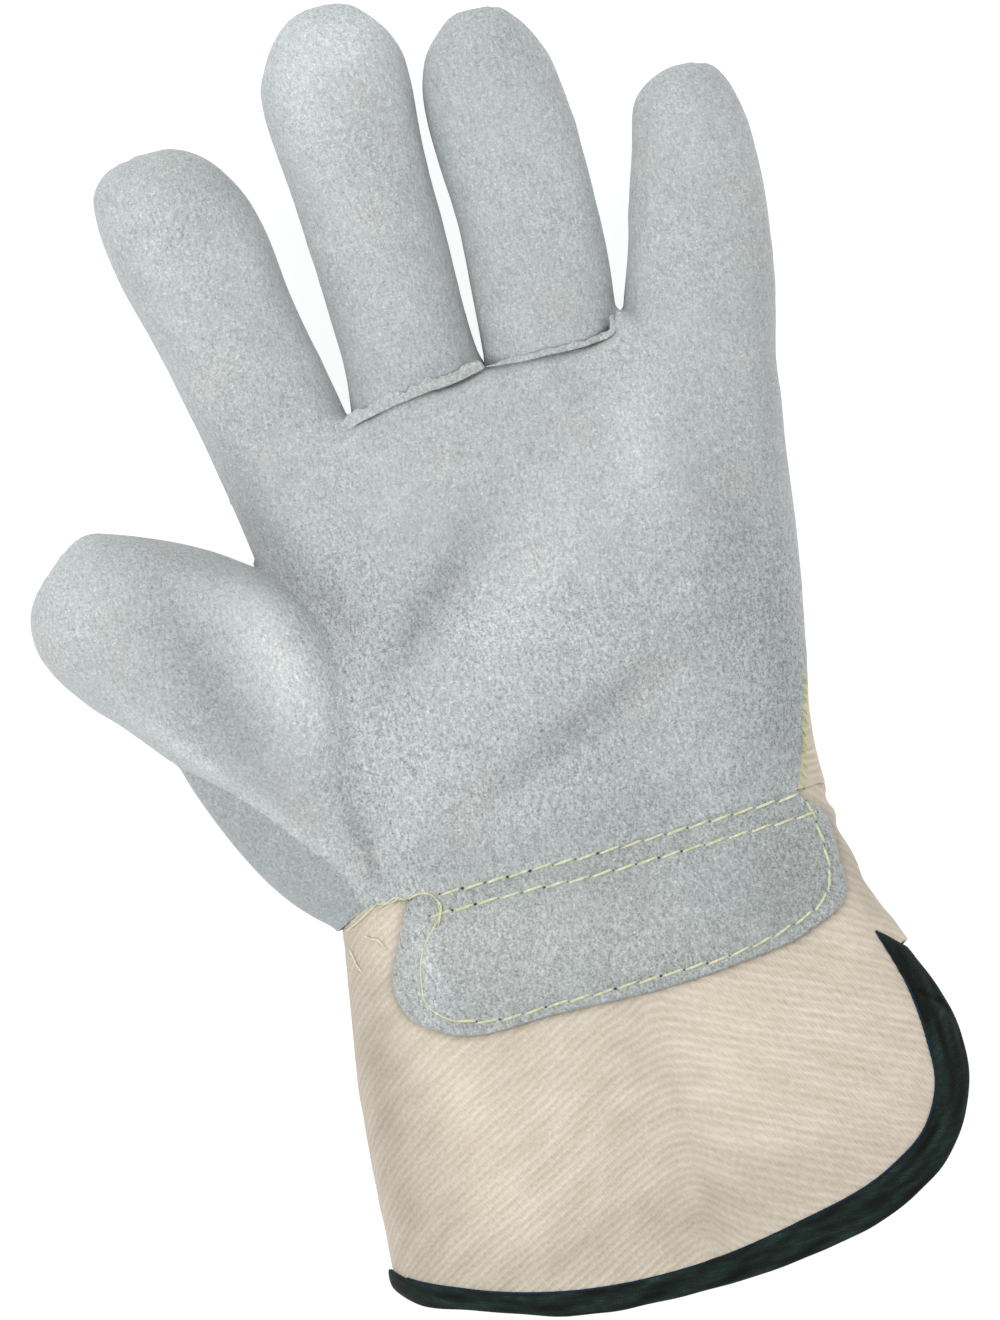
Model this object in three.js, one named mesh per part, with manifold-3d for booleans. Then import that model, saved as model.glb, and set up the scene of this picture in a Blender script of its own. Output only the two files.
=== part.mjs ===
// A left-hand rigger glove that lies on its back with the palm up.
// Millimetres. X runs across the hand, away from the thumb, Y from the wrist to the fingertips, Z up.
// The glove is one hollow form of lofted tubes. Its pattern pieces are cut out of that form's wall along
// the seams, so each piece follows its neighbour with a seam gap between them.
import * as THREE from "three";
import { mergeVertices } from "three/addons/utils/BufferGeometryUtils.js";
import Module from "manifold-3d";

const wasm = await Module();
wasm.setup();

// Driving dimensions
const HAND_LENGTH = 104; // wrist seam to the fork of the middle and ring fingers
const HAND_WIDTH = 120; // over the knuckles
const HAND_DEPTH = 38; // back of the hand to the top of the palm
const CUFF_LENGTH = 96; // wrist seam to the lowest point of the hem
const CUFF_WIDTH = 130; // at the hem
const CUFF_DEPTH = 44; // at the hem
const SEAM_HEIGHT = 17; // side seams above the surface that the glove lies on
const FINGER_CURL = 5; // rise of the longest fingertip above the side seams
const WALL = 1.5; // leather and canvas
const PATCH_THICKNESS = 1.3; // pulse patch
const TAPE_THICKNESS = 0.8; // hem binding
const WELT_WIDTH = 3;
const WELT_HEIGHT = 1.2;
const SEAM_GAP = 0.3; // between neighbouring pieces
const KNUCKLE_LINE = 88; // wrist seam to the finger backs
const WELD = 0.005; // shortest edge that a cut may leave
const SLIVER = 0.001; // flattest triangle that a cut may leave
const REACH = 260; // half size of the cutting blocks, past the glove on every side

// Roundness of a section: 2 is an ellipse, more is squarer
const TRUNK_SQUARENESS = 2.5;
const FINGER_SQUARENESS = 2.2;

// The cuff from its hem up, then the palm up to the fork of the fingers. Left and right edges are shares of
// the width, crown and keel are the heights over and under the side seams as shares of the depth.
const CUFF_ROWS = [
  { along: -1.25, left: -0.45, right: 0.63, crown: 0.57, keel: 0.5 },
  { along: -0.95, left: -0.455, right: 0.615, crown: 0.57, keel: 0.5 },
  { along: -0.75, left: -0.452, right: 0.59, crown: 0.56, keel: 0.5 },
  { along: -0.55, left: -0.449, right: 0.55, crown: 0.53, keel: 0.49 },
  { along: -0.38, left: -0.443, right: 0.492, crown: 0.5, keel: 0.48 },
  { along: -0.22, left: -0.434, right: 0.435, crown: 0.46, keel: 0.48 },
  { along: -0.1, left: -0.423, right: 0.411, crown: 0.42, keel: 0.47 },
];
const PALM_ROWS = [
  { along: 0, left: -0.452, right: 0.438, crown: 0.45, keel: 0.53 },
  { along: 0.14, left: -0.436, right: 0.434, crown: 0.48, keel: 0.53 },
  { along: 0.34, left: -0.43, right: 0.46, crown: 0.51, keel: 0.54 },
  { along: 0.56, left: -0.436, right: 0.486, crown: 0.52, keel: 0.54 },
  { along: 0.74, left: -0.458, right: 0.5, crown: 0.49, keel: 0.52 },
  { along: 0.86, left: -0.468, right: 0.512, crown: 0.43, keel: 0.48 },
  { along: 0.945, left: -0.472, right: 0.5, crown: 0.37, keel: 0.41 },
];

// Fingers and thumb: the base and the width as shares of the hand's width and length, then the edges of each
// section as shares of that width and its swell as a share of half the depth. Rise is the section's height
// over the side seams as a share of the depth. Lean is in degrees towards the thumb.
const FINGERS = [
  {
    name: "index", base: { across: -0.365, along: 0.814 }, lean: 9.14, length: 81.9, width: 0.278, depth: 28,
    rows: [
      { along: -0.25, left: -0.38, right: 0.46, swell: 0.8 },
      { along: 0.02, left: -0.4, right: 0.5, swell: 1 },
      { along: 0.16, left: -0.415, right: 0.495, swell: 1.02 },
      { along: 0.3, left: -0.44, right: 0.475, swell: 1 },
      { along: 0.5, left: -0.479, right: 0.44, swell: 0.97 },
      { along: 0.7, left: -0.551, right: 0.447, swell: 0.96 },
      { along: 0.8, left: -0.557, right: 0.414, swell: 0.93 },
      { along: 0.88, left: -0.543, right: 0.339, swell: 0.82 },
      { along: 0.94, left: -0.509, right: 0.243, swell: 0.66 },
      { along: 0.975, left: -0.44, right: 0.14, swell: 0.46 },
      { along: 1, left: -0.32, right: 0, swell: 0.2 },
    ],
  },
  {
    name: "middle", base: { across: -0.113, along: 0.969 }, lean: -0.31, length: 86.6, width: 0.268, depth: 28,
    rows: [
      { along: -0.25, left: -0.47, right: 0.47, swell: 0.8 },
      { along: 0, left: -0.49, right: 0.485, swell: 1 },
      { along: 0.06, left: -0.452, right: 0.435, swell: 1 },
      { along: 0.2, left: -0.477, right: 0.402, swell: 1 },
      { along: 0.4, left: -0.517, right: 0.386, swell: 0.98 },
      { along: 0.6, left: -0.576, right: 0.361, swell: 0.96 },
      { along: 0.75, left: -0.628, right: 0.376, swell: 0.95 },
      { along: 0.85, left: -0.601, right: 0.364, swell: 0.86 },
      { along: 0.92, left: -0.5, right: 0.28, swell: 0.7 },
      { along: 0.97, left: -0.38, right: 0.162, swell: 0.48 },
      { along: 1, left: -0.25, right: 0.04, swell: 0.2 },
    ],
  },
  {
    name: "ring", base: { across: 0.132, along: 1.008 }, lean: -2.53, length: 75, width: 0.255, depth: 27,
    rows: [
      { along: -0.35, left: -0.49, right: 0.5, swell: 0.8 },
      { along: 0, left: -0.485, right: 0.485, swell: 1 },
      { along: 0.08, left: -0.482, right: 0.48, swell: 1 },
      { along: 0.2, left: -0.49, right: 0.5, swell: 1 },
      { along: 0.4, left: -0.497, right: 0.474, swell: 0.98 },
      { along: 0.6, left: -0.565, right: 0.441, swell: 0.96 },
      { along: 0.75, left: -0.595, right: 0.385, swell: 0.94 },
      { along: 0.85, left: -0.562, right: 0.324, swell: 0.86 },
      { along: 0.92, left: -0.475, right: 0.225, swell: 0.7 },
      { along: 0.97, left: -0.366, right: 0.124, swell: 0.48 },
      { along: 1, left: -0.26, right: 0.03, swell: 0.2 },
    ],
  },
  {
    name: "little", base: { across: 0.402, along: 0.985 }, lean: -9.08, length: 57.1, width: 0.264, depth: 26,
    rows: [
      { along: -0.5, left: -0.5, right: 0.43, swell: 0.85 },
      { along: 0, left: -0.56, right: 0.485, swell: 1 },
      { along: 0.12, left: -0.535, right: 0.495, swell: 1.02 },
      { along: 0.3, left: -0.483, right: 0.492, swell: 1 },
      { along: 0.5, left: -0.457, right: 0.47, swell: 0.98 },
      { along: 0.7, left: -0.413, right: 0.41, swell: 0.93 },
      { along: 0.82, left: -0.402, right: 0.352, swell: 0.84 },
      { along: 0.9, left: -0.353, right: 0.287, swell: 0.7 },
      { along: 0.96, left: -0.23, right: 0.22, swell: 0.5 },
      { along: 1, left: -0.08, right: 0.12, swell: 0.2 },
    ],
  },
];
const THUMB = {
  base: { across: -0.367, along: 0.123 }, lean: 42.5, length: 87.2, width: 0.383, depth: 36,
  rows: [
    { along: -0.1, left: -0.22, right: 0.02, swell: 0.42, rise: 0.02 },
    { along: 0.05, left: -0.22, right: 0.16, swell: 0.58, rise: 0.06 },
    { along: 0.2, left: -0.215, right: 0.42, swell: 0.82, rise: 0.09 },
    { along: 0.33, left: -0.22, right: 0.66, swell: 0.96, rise: 0.11 },
    { along: 0.45, left: -0.255, right: 0.76, swell: 1, rise: 0.12 },
    { along: 0.6, left: -0.252, right: 0.709, swell: 0.94, rise: 0.13 },
    { along: 0.7, left: -0.261, right: 0.652, swell: 0.88, rise: 0.13 },
    { along: 0.8, left: -0.257, right: 0.585, swell: 0.82, rise: 0.13 },
    { along: 0.88, left: -0.226, right: 0.51, swell: 0.72, rise: 0.13 },
    { along: 0.94, left: -0.165, right: 0.44, swell: 0.58, rise: 0.13 },
    { along: 0.975, left: -0.1, right: 0.37, swell: 0.42, rise: 0.13 },
    { along: 1, left: 0.02, right: 0.25, swell: 0.2, rise: 0.13 },
  ],
};
// The gusset behind the thumb, in the thumb's own frame
const GUSSET_DEPTH = 27;
const GUSSET_ROWS = [
  { along: -0.18, left: -0.38, right: 0.3, swell: 0.7, rise: -0.04 },
  { along: -0.03, left: -0.47, right: 0.4, swell: 0.92, rise: -0.04 },
  { along: 0.09, left: -0.474, right: 0.5, swell: 1, rise: -0.03 },
  { along: 0.2, left: -0.439, right: 0.55, swell: 1, rise: -0.02 },
  { along: 0.3, left: -0.385, right: 0.55, swell: 0.95, rise: 0 },
  { along: 0.4, left: -0.32, right: 0.5, swell: 0.85, rise: 0.03 },
  { along: 0.52, left: -0.22, right: 0.42, swell: 0.6, rise: 0.08 },
];

// Mounds and hollows of the palm: place and radii as shares of the hand's width and length, height a share
// of its depth, turn in degrees from the hand's length.
const RELIEF = [
  { across: 0.25, along: 0.8, wide: 0.12, long: 0.13, height: 0.05, turn: 0 },
  { across: 0.12, along: 0.38, wide: 0.13, long: 0.4, height: 0.05, turn: -38 },
  { across: -0.14, along: 0.6, wide: 0.06, long: 0.26, height: -0.045, turn: -48 },
  { across: 0.3, along: 0.25, wide: 0.14, long: 0.26, height: 0.04, turn: 0 },
  { across: -0.3, along: 0.84, wide: 0.12, long: 0.12, height: 0.03, turn: 10 },
];

// Seams in plan, as shares of the hand's width and length
const WRIST_SEAM = [
  { across: -1.2, along: -0.16 }, { across: -0.47, along: -0.058 }, { across: -0.4, along: -0.02 },
  { across: -0.33, along: -0.02 }, { across: 0, along: -0.012 }, { across: 0.383, along: 0.026 },
  { across: 1.2, along: 0.09 },
];
const THUMB_CROTCH = { across: -0.457, along: 0.697 };
const THUMB_VALLEY = [
  { across: -0.4, along: -0.035 }, { across: -0.382, along: 0.05 }, { across: -0.37, along: 0.24 },
  { across: -0.354, along: 0.403 }, { across: -0.338, along: 0.525 }, { across: -0.343, along: 0.6 },
];
const THUMB_FOLD = [
  { across: -0.75, along: 0.38 }, { across: -0.678, along: 0.343 }, { across: -0.616, along: 0.291 },
  { across: -0.538, along: 0.203 }, { across: -0.503, along: 0.154 }, { across: -0.444, along: 0.08 },
];
const THUMB_BACK_SEAM = [
  { across: -0.4, along: -0.2 }, { across: -0.39, along: 0.1 }, { across: -0.39, along: 0.4 },
];
const INDEX_FORK = [
  { across: -0.245, along: 0.945 }, { across: -0.272, along: 1.2 }, { across: -0.315, along: 1.44 },
  { across: -0.34, along: 2 },
];
const MIDDLE_FORK = [
  { across: 0.008, along: 1.006 }, { across: 0.003, along: 1.2 }, { across: -0.005, along: 1.44 },
  { across: 0, along: 1.6 }, { across: 0.02, along: 1.7 }, { across: 0.02, along: 2 },
];
const RING_FORK = [
  { across: 0.246, along: 1.02 }, { across: 0.28, along: 1.15 }, { across: 0.31, along: 1.44 },
  { across: 0.34, along: 2 },
];
const MIDDLE_BASE = [
  { across: -0.245, along: 0.945 }, { across: -0.181, along: 0.966 }, { across: -0.115, along: 0.981 },
  { across: -0.05, along: 0.99 }, { across: 0.008, along: 1.006 },
];
const RING_BASE = [
  { across: 0.008, along: 1.006 }, { across: 0.07, along: 1.002 }, { across: 0.126, along: 1.003 },
  { across: 0.2, along: 1.006 }, { across: 0.246, along: 1.02 },
];
const PALM_OUTER_SEAM = [
  { across: 0.49, along: 0.36 }, { across: 0.4325, along: 0.2 }, { across: 0.405, along: 0.083 },
  { across: 0.386, along: 0.025 },
];

// The hem's outline and the binding's inner edge, as shares of the cuff's width and length, and the pulse
// patch's outline. Each is a smooth curve through its points.
const HEM = [
  { across: -0.5, along: -0.78 }, { across: -0.47, along: -0.85 }, { across: -0.43, along: -0.9 },
  { across: -0.35, along: -0.935 }, { across: -0.2, along: -0.992 }, { across: 0.02, along: -1.005 },
  { across: 0.2, along: -0.982 }, { across: 0.37, along: -0.92 }, { across: 0.475, along: -0.82 },
  { across: 0.525, along: -0.69 }, { across: 0.531, along: -0.58 }, { across: 0.512, along: -0.47 },
  { across: 0.474, along: -0.36 },
];
const BINDING_EDGE = [
  { across: -0.5, along: -0.76 }, { across: -0.45, along: -0.83 }, { across: -0.35, along: -0.89 },
  { across: -0.2, along: -0.94 }, { across: 0.02, along: -0.948 }, { across: 0.2, along: -0.905 },
  { across: 0.37, along: -0.83 }, { across: 0.44, along: -0.76 }, { across: 0.473, along: -0.67 },
  { across: 0.475, along: -0.57 }, { across: 0.464, along: -0.45 }, { across: 0.432, along: -0.314 },
];
const PATCH = [
  { across: -0.305, along: -0.03 }, { across: -0.34, along: -0.13 }, { across: -0.358, along: -0.2 },
  { across: -0.345, along: -0.275 }, { across: -0.29, along: -0.33 }, { across: -0.1, along: -0.34 },
  { across: 0.2, along: -0.318 }, { across: 0.33, along: -0.28 }, { across: 0.396, along: -0.225 },
  { across: 0.4, along: -0.14 }, { across: 0.386, along: -0.02 }, { across: 0.36, along: 0.012 },
  { across: 0.2, along: -0.008 }, { across: -0.1, along: -0.022 },
];

const onHand = ({ across, along }) => new THREE.Vector2(across * HAND_WIDTH, along * HAND_LENGTH);
const onCuff = ({ across, along }) => new THREE.Vector2(across * CUFF_WIDTH, along * CUFF_LENGTH);
const smooth = (points, steps) => new THREE.SplineCurve(points).getPoints(steps);

// Height of the side seams, which follow the fingers' curl past the fork
const LONGEST_TIP = HAND_LENGTH + FINGERS[1].length;
const seamHeight = (y) => {
  const past = Math.max(0, (y - HAND_LENGTH) / (LONGEST_TIP - HAND_LENGTH));
  return SEAM_HEIGHT + FINGER_CURL * past * past;
};

// Height that the mounds and hollows add at a point of the palm
function reliefAt(x, y) {
  let height = 0;
  for (const mound of RELIEF) {
    const centre = onHand(mound);
    const offset = new THREE.Vector2(x, y).sub(centre);
    offset.rotateAround(new THREE.Vector2(), -THREE.MathUtils.degToRad(mound.turn));
    const wide = offset.x / (mound.wide * HAND_WIDTH);
    const long = offset.y / (mound.long * HAND_LENGTH);
    height += mound.height * HAND_DEPTH * Math.exp(-wide * wide - long * long);
  }
  return height;
}

// A closed solid from triangles over shared corners
function solid(geometry) {
  const bare = geometry.clone();
  bare.deleteAttribute("normal");
  bare.deleteAttribute("uv");
  const merged = mergeVertices(bare, 1e-4);
  return new wasm.Manifold(new wasm.Mesh({
    numProp: 3,
    vertProperties: new Float32Array(merged.attributes.position.array),
    triVerts: new Uint32Array(merged.index.array),
  }));
}

// A solid's triangles as a geometry without the slivers that cuts leave: corners joined by an edge shorter
// than WELD become one, and a triangle flatter than SLIVER swaps its long edge for the other diagonal.
function cleaned(form3) {
  const { vertProperties, triVerts } = form3.getMesh();
  const corner = (i) => new THREE.Vector3().fromArray(vertProperties, 3 * i);
  const joined = Array.from({ length: vertProperties.length / 3 }, (_, i) => i);
  const find = (i) => {
    while (joined[i] !== i) {
      i = joined[i];
    }
    return i;
  };
  for (let t = 0; t < triVerts.length; t++) {
    const from = triVerts[t];
    const to = triVerts[t % 3 === 2 ? t - 2 : t + 1];
    if (corner(from).distanceTo(corner(to)) < WELD) {
      joined[find(from)] = find(to);
    }
  }
  const faces = new Map();
  for (let t = 0; t < triVerts.length; t += 3) {
    const face = [find(triVerts[t]), find(triVerts[t + 1]), find(triVerts[t + 2])];
    if (new Set(face).size < 3) {
      continue;
    }
    const key = [...face].sort((a, b) => a - b).join();
    if (faces.has(key)) {
      faces.delete(key);
    } else {
      faces.set(key, face);
    }
  }
  const list = [...faces.values()];
  const owner = new Map();
  const claim = (face, i) => face.forEach((a, k) => owner.set(`${a},${face[(k + 1) % 3]}`, i));
  list.forEach(claim);
  const triangle = new THREE.Triangle();
  const height = ([a, b, c]) => {
    triangle.set(corner(a), corner(b), corner(c));
    return (2 * triangle.getArea()) / triangle.a.distanceTo(triangle.b);
  };
  for (let pass = 0; pass < 3; pass++) {
    for (let i = 0; i < list.length; i++) {
      const turns = [0, 1, 2].map((k) => [0, 1, 2].map((n) => list[i][(k + n) % 3]));
      const length = ([a, b]) => corner(a).distanceTo(corner(b));
      const [a, b, c] = turns.sort((one, two) => length(two) - length(one))[0];
      const other = owner.get(`${b},${a}`);
      const d = list[other].find((v) => v !== a && v !== b);
      if (height([a, b, c]) > SLIVER || owner.has(`${c},${d}`) || owner.has(`${d},${c}`)) {
        continue;
      }
      owner.delete(`${a},${b}`);
      owner.delete(`${b},${a}`);
      list[i] = [a, d, c];
      list[other] = [d, b, c];
      claim(list[i], i);
      claim(list[other], other);
    }
  }
  const geometry = new THREE.BufferGeometry();
  geometry.setAttribute("position", new THREE.BufferAttribute(vertProperties, 3));
  geometry.setIndex(list.flat());
  return mergeVertices(geometry, 1e-4);
}

// A tube through sections { y, left, right, up, down, middle }, each a superellipse across the tube's axis,
// closed at both ends, and put in place by the function that takes (across, along, height) to a point.
function loft(sections, sides, squareness, place) {
  const positions = [];
  const index = [];
  const power = 2 / squareness;
  const bend = (value) => Math.sign(value) * Math.abs(value) ** power;
  for (const { y, left, right, up, down, middle } of sections) {
    for (let side = 0; side < sides; side++) {
      const angle = (2 * Math.PI * side) / sides;
      const rise = bend(Math.sin(angle));
      const x = (left + right) / 2 + ((right - left) / 2) * bend(Math.cos(angle));
      positions.push(...place(x, y, middle + rise * (rise > 0 ? up : down), Math.max(0, rise)));
    }
  }
  const ends = [sections[0], sections[sections.length - 1]];
  for (const { y, left, right, middle } of ends) {
    positions.push(...place((left + right) / 2, y, middle, 0));
  }
  const last = sections.length - 1;
  const poles = sections.length * sides;
  for (let side = 0; side < sides; side++) {
    const next = (side + 1) % sides;
    for (let ring = 0; ring < last; ring++) {
      const low = ring * sides;
      const high = low + sides;
      index.push(low + side, high + side, high + next, low + side, high + next, low + next);
    }
    index.push(poles, side, next);
    index.push(poles + 1, last * sides + next, last * sides + side);
  }
  const geometry = new THREE.BufferGeometry();
  geometry.setAttribute("position", new THREE.Float32BufferAttribute(positions, 3));
  geometry.setIndex(index);
  return solid(geometry);
}

// Sides of a tube's sections, fewer on the inside of the wall
const OUTSIDE = { trunk: 32, finger: 14, thumb: 18 };
const INSIDE = { trunk: 24, finger: 10, thumb: 12 };
const facets = (grow) => (grow < 0 ? INSIDE : OUTSIDE);

// The cuff and the palm as one tube, grown by an amount on every side
function trunk(grow) {
  const cuff = CUFF_ROWS.map((row) => [
    row.along * CUFF_LENGTH, row.left * CUFF_WIDTH, row.right * CUFF_WIDTH,
    row.crown * CUFF_DEPTH, row.keel * CUFF_DEPTH,
  ]);
  const palm = PALM_ROWS.map((row) => [
    row.along * HAND_LENGTH, row.left * HAND_WIDTH, row.right * HAND_WIDTH,
    row.crown * HAND_DEPTH, row.keel * HAND_DEPTH,
  ]);
  const rows = [...cuff, ...palm];
  const spline = new THREE.CubicInterpolant(
    rows.map((row) => row[0]), rows.flatMap((row) => row.slice(1)), 4, new Float32Array(4));
  const sections = [];
  rows.forEach((row, i) => {
    const between = i >= CUFF_ROWS.length && i + 1 < rows.length ? [(row[0] + rows[i + 1][0]) / 2] : [];
    const stops = i + 1 < rows.length ? [row[0], ...between] : [row[0] + grow];
    for (const y of stops) {
      const [left, right, up, down] = spline.evaluate(Math.min(y, row[0] + (y - row[0])));
      sections.push({
        y, left: left - grow, right: right + grow, up: up + grow, down: down + grow, middle: SEAM_HEIGHT,
      });
    }
  });
  return loft(sections, facets(grow).trunk, TRUNK_SQUARENESS, (x, y, z, top) => [x, y, z + top * reliefAt(x, y)]);
}

// A finger, the thumb or its gusset as a tube along its own leaning axis
function digit({ base, lean, length, width, depth, rows }, grow, sides = facets(grow).finger) {
  const root = onHand(base);
  const turn = THREE.MathUtils.degToRad(lean);
  const sections = rows.map((row) => ({
    y: row.along * (row.along > 0 ? length + grow : length),
    left: row.left * width * HAND_WIDTH - grow,
    right: row.right * width * HAND_WIDTH + grow,
    up: (row.swell * depth) / 2 + grow,
    down: (row.swell * depth) / 2 + grow,
    middle: (row.rise ?? 0) * depth,
  }));
  return loft(sections, sides, FINGER_SQUARENESS, (across, along, height) => {
    const x = root.x + across * Math.cos(turn) - along * Math.sin(turn);
    const y = root.y + across * Math.sin(turn) + along * Math.cos(turn);
    return [x, y, seamHeight(y) + height];
  });
}

const GUSSET = { ...THUMB, depth: GUSSET_DEPTH, rows: GUSSET_ROWS };

// A block over a plan outline, from one height to another
function prism(outline, low = -REACH, high = REACH) {
  const geometry = new THREE.ExtrudeGeometry(new THREE.Shape(outline), { depth: high - low, bevelEnabled: false });
  return solid(geometry.translate(0, 0, low));
}

// A block over a profile of (y, z) points, across the whole glove and up, in a frame of its own
function above(profile, frame = new THREE.Matrix4()) {
  const first = profile[0];
  const last = profile[profile.length - 1];
  const outline = [...profile, new THREE.Vector2(last.x, REACH), new THREE.Vector2(first.x, REACH)];
  const geometry = new THREE.ExtrudeGeometry(new THREE.Shape(outline), { depth: 2 * REACH, bevelEnabled: false });
  geometry.translate(0, 0, -REACH);
  geometry.rotateX(Math.PI / 2);
  geometry.rotateZ(Math.PI / 2);
  return solid(geometry.applyMatrix4(frame));
}

// An outline moved outwards by a distance, with mitred corners
function grown(outline, distance) {
  const turnsLeft = THREE.ShapeUtils.area(outline) > 0 ? 1 : -1;
  return outline.map((point, i) => {
    const before = outline[(i + outline.length - 1) % outline.length];
    const after = outline[(i + 1) % outline.length];
    const into = point.clone().sub(before).normalize();
    const out = after.clone().sub(point).normalize();
    const normal = new THREE.Vector2(into.y + out.y, -into.x - out.x).normalize();
    const mitre = Math.max(0.4, normal.dot(new THREE.Vector2(out.y, -out.x)));
    return point.clone().addScaledVector(normal, (turnsLeft * distance) / mitre);
  });
}

// The surface that the glove lies on, a tape's thickness lower than the cuff's hem
const TAPE_ROOM = TAPE_THICKNESS + SEAM_GAP;
function aboveFloor(grow) {
  const rest = [
    new THREE.Vector2(-REACH, TAPE_ROOM), new THREE.Vector2(-0.33 * CUFF_LENGTH, TAPE_ROOM),
    new THREE.Vector2(-0.15 * CUFF_LENGTH, 0), new THREE.Vector2(REACH, 0),
  ];
  return above(rest.map((point) => new THREE.Vector2(point.x, point.y - grow)));
}

// The space over the side seams, lowered by an amount
function aboveSeams(lower) {
  const stops = [-REACH, HAND_LENGTH];
  for (let share = 0.2; share < 1.3; share += 0.2) {
    stops.push(HAND_LENGTH + share * FINGERS[1].length);
  }
  return above(stops.map((y) => new THREE.Vector2(y, seamHeight(y) - lower)));
}

// The space over the thumb's own seam, which lies higher than the other side seams, lowered by an amount
function aboveThumbSeam(lower) {
  const root = onHand(THUMB.base);
  const stops = THUMB.rows.map(({ along, rise }) =>
    new THREE.Vector2(along * THUMB.length, SEAM_HEIGHT + rise * THUMB.depth - lower));
  stops.unshift(new THREE.Vector2(-REACH, stops[0].y));
  stops.push(new THREE.Vector2(REACH, stops[stops.length - 1].y));
  const frame = new THREE.Matrix4().makeRotationZ(THREE.MathUtils.degToRad(THUMB.lean));
  return above(stops, frame.setPosition(root.x, root.y, 0));
}

// The whole glove as one solid form, grown by an amount
function form(grow) {
  let whole = trunk(grow);
  for (const finger of FINGERS) {
    whole = whole.add(digit(finger, grow));
  }
  whole = whole.add(digit(THUMB, grow, facets(grow).thumb)).add(digit(GUSSET, grow));
  return whole.intersect(aboveFloor(grow));
}

// A region in plan, as a block that can be grown by the seam gap
const region = (outline, ceiling = () => null) => (grow) => {
  const block = prism(grown(outline, grow));
  const limit = ceiling(grow);
  return limit ? block.intersect(limit) : block;
};

// Parts of the plan outside the glove, where a region's outline runs clear of it
const OUTSIDE_THUMB = [
  { across: -0.56, along: 0.865 }, { across: -0.75, along: 1 }, { across: -1.2, along: 1 },
  { across: -1.2, along: 0.4 },
];
const OUTSIDE_INDEX = [{ across: -0.65, along: 1.2 }, { across: -0.75, along: 2 }];
const OUTSIDE_LITTLE = [{ across: 1, along: 2 }, { across: 1, along: 0.38 }];
const BELOW_THUMB = [{ across: -0.4, along: -0.3 }, { across: -1.2, along: -0.3 }];
const onHandAll = (points) => points.map(onHand);
const backwards = (points) => [...points].reverse();

const thumbRegion = region(
  onHandAll([...THUMB_VALLEY, THUMB_CROTCH, ...OUTSIDE_THUMB, ...THUMB_FOLD]), aboveThumbSeam);
const middleRegion = region(
  onHandAll([...MIDDLE_BASE, ...MIDDLE_FORK.slice(1), ...backwards(INDEX_FORK.slice(1))]), aboveSeams);
const ringRegion = region(
  onHandAll([...RING_BASE, ...RING_FORK.slice(1), ...backwards(MIDDLE_FORK.slice(1))]), aboveSeams);
const palmRegion = region(onHandAll([
  BELOW_THUMB[0], { across: PALM_OUTER_SEAM[3].across, along: BELOW_THUMB[0].along },
  ...backwards(PALM_OUTER_SEAM), ...backwards(OUTSIDE_LITTLE), ...backwards(OUTSIDE_INDEX),
  OUTSIDE_THUMB[0], THUMB_CROTCH, ...backwards(THUMB_VALLEY),
]), aboveSeams);
const gussetRegion = region(
  onHandAll([...THUMB_BACK_SEAM, THUMB_CROTCH, ...OUTSIDE_THUMB, ...backwards(BELOW_THUMB)]));

// The finger backs: between the forks, past the knuckle line
const knuckle = (across) => ({ across, along: KNUCKLE_LINE / HAND_LENGTH });
const indexBackRegion = region(onHandAll(
  [knuckle(-1), knuckle(INDEX_FORK[0].across), ...INDEX_FORK, { across: -1, along: 2 }]));
const middleBackRegion = region(onHandAll([
  knuckle(INDEX_FORK[0].across), knuckle(MIDDLE_FORK[0].across), ...MIDDLE_FORK, ...backwards(INDEX_FORK)]));
const ringBackRegion = region(onHandAll([
  knuckle(MIDDLE_FORK[0].across), knuckle(RING_FORK[0].across), ...RING_FORK, ...backwards(MIDDLE_FORK)]));
const littleBackRegion = region(onHandAll(
  [knuckle(RING_FORK[0].across), knuckle(1), { across: 1, along: 2 }, ...backwards(RING_FORK)]));

// Finishes
const LEATHER = { color: 0xb9c3c6, roughness: 0.95 };
const LEATHER_EDGE = { color: 0xa3adb0, roughness: 0.95 };
const CANVAS = { color: 0xd8ccbc, roughness: 0.9 };
const TAPE = { color: 0x192624, roughness: 0.85 };

const glove = new THREE.Group();
function addPiece(name, form3, finish) {
  const geometry = cleaned(form3);
  geometry.computeVertexNormals();
  const mesh = new THREE.Mesh(geometry, new THREE.MeshStandardMaterial({ ...finish, metalness: 0 }));
  mesh.name = name;
  glove.add(mesh);
}

// The hand: each piece is cut out of what the earlier ones left, a seam gap away from them
const shell = form(0).subtract(form(-WALL));
const handSide = region(onHandAll([...WRIST_SEAM, { across: 1.2, along: 2.2 }, { across: -1.2, along: 2.2 }]));
let rest = shell.intersect(handSide(0));
const PATTERN = [
  ["thumb", thumbRegion, LEATHER],
  ["middle_front", middleRegion, LEATHER],
  ["ring_front", ringRegion, LEATHER],
  ["palm", palmRegion, LEATHER],
  ["thumb_gusset", gussetRegion, LEATHER],
  ["index_back", indexBackRegion, LEATHER],
  ["middle_back", middleBackRegion, LEATHER],
  ["ring_back", ringBackRegion, LEATHER],
  ["little_back", littleBackRegion, LEATHER],
];
for (const [name, shape, finish] of PATTERN) {
  addPiece(name, rest.intersect(shape(0)), finish);
  rest = rest.subtract(shape(SEAM_GAP));
}
addPiece("back_of_hand", rest, CANVAS);

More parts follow.
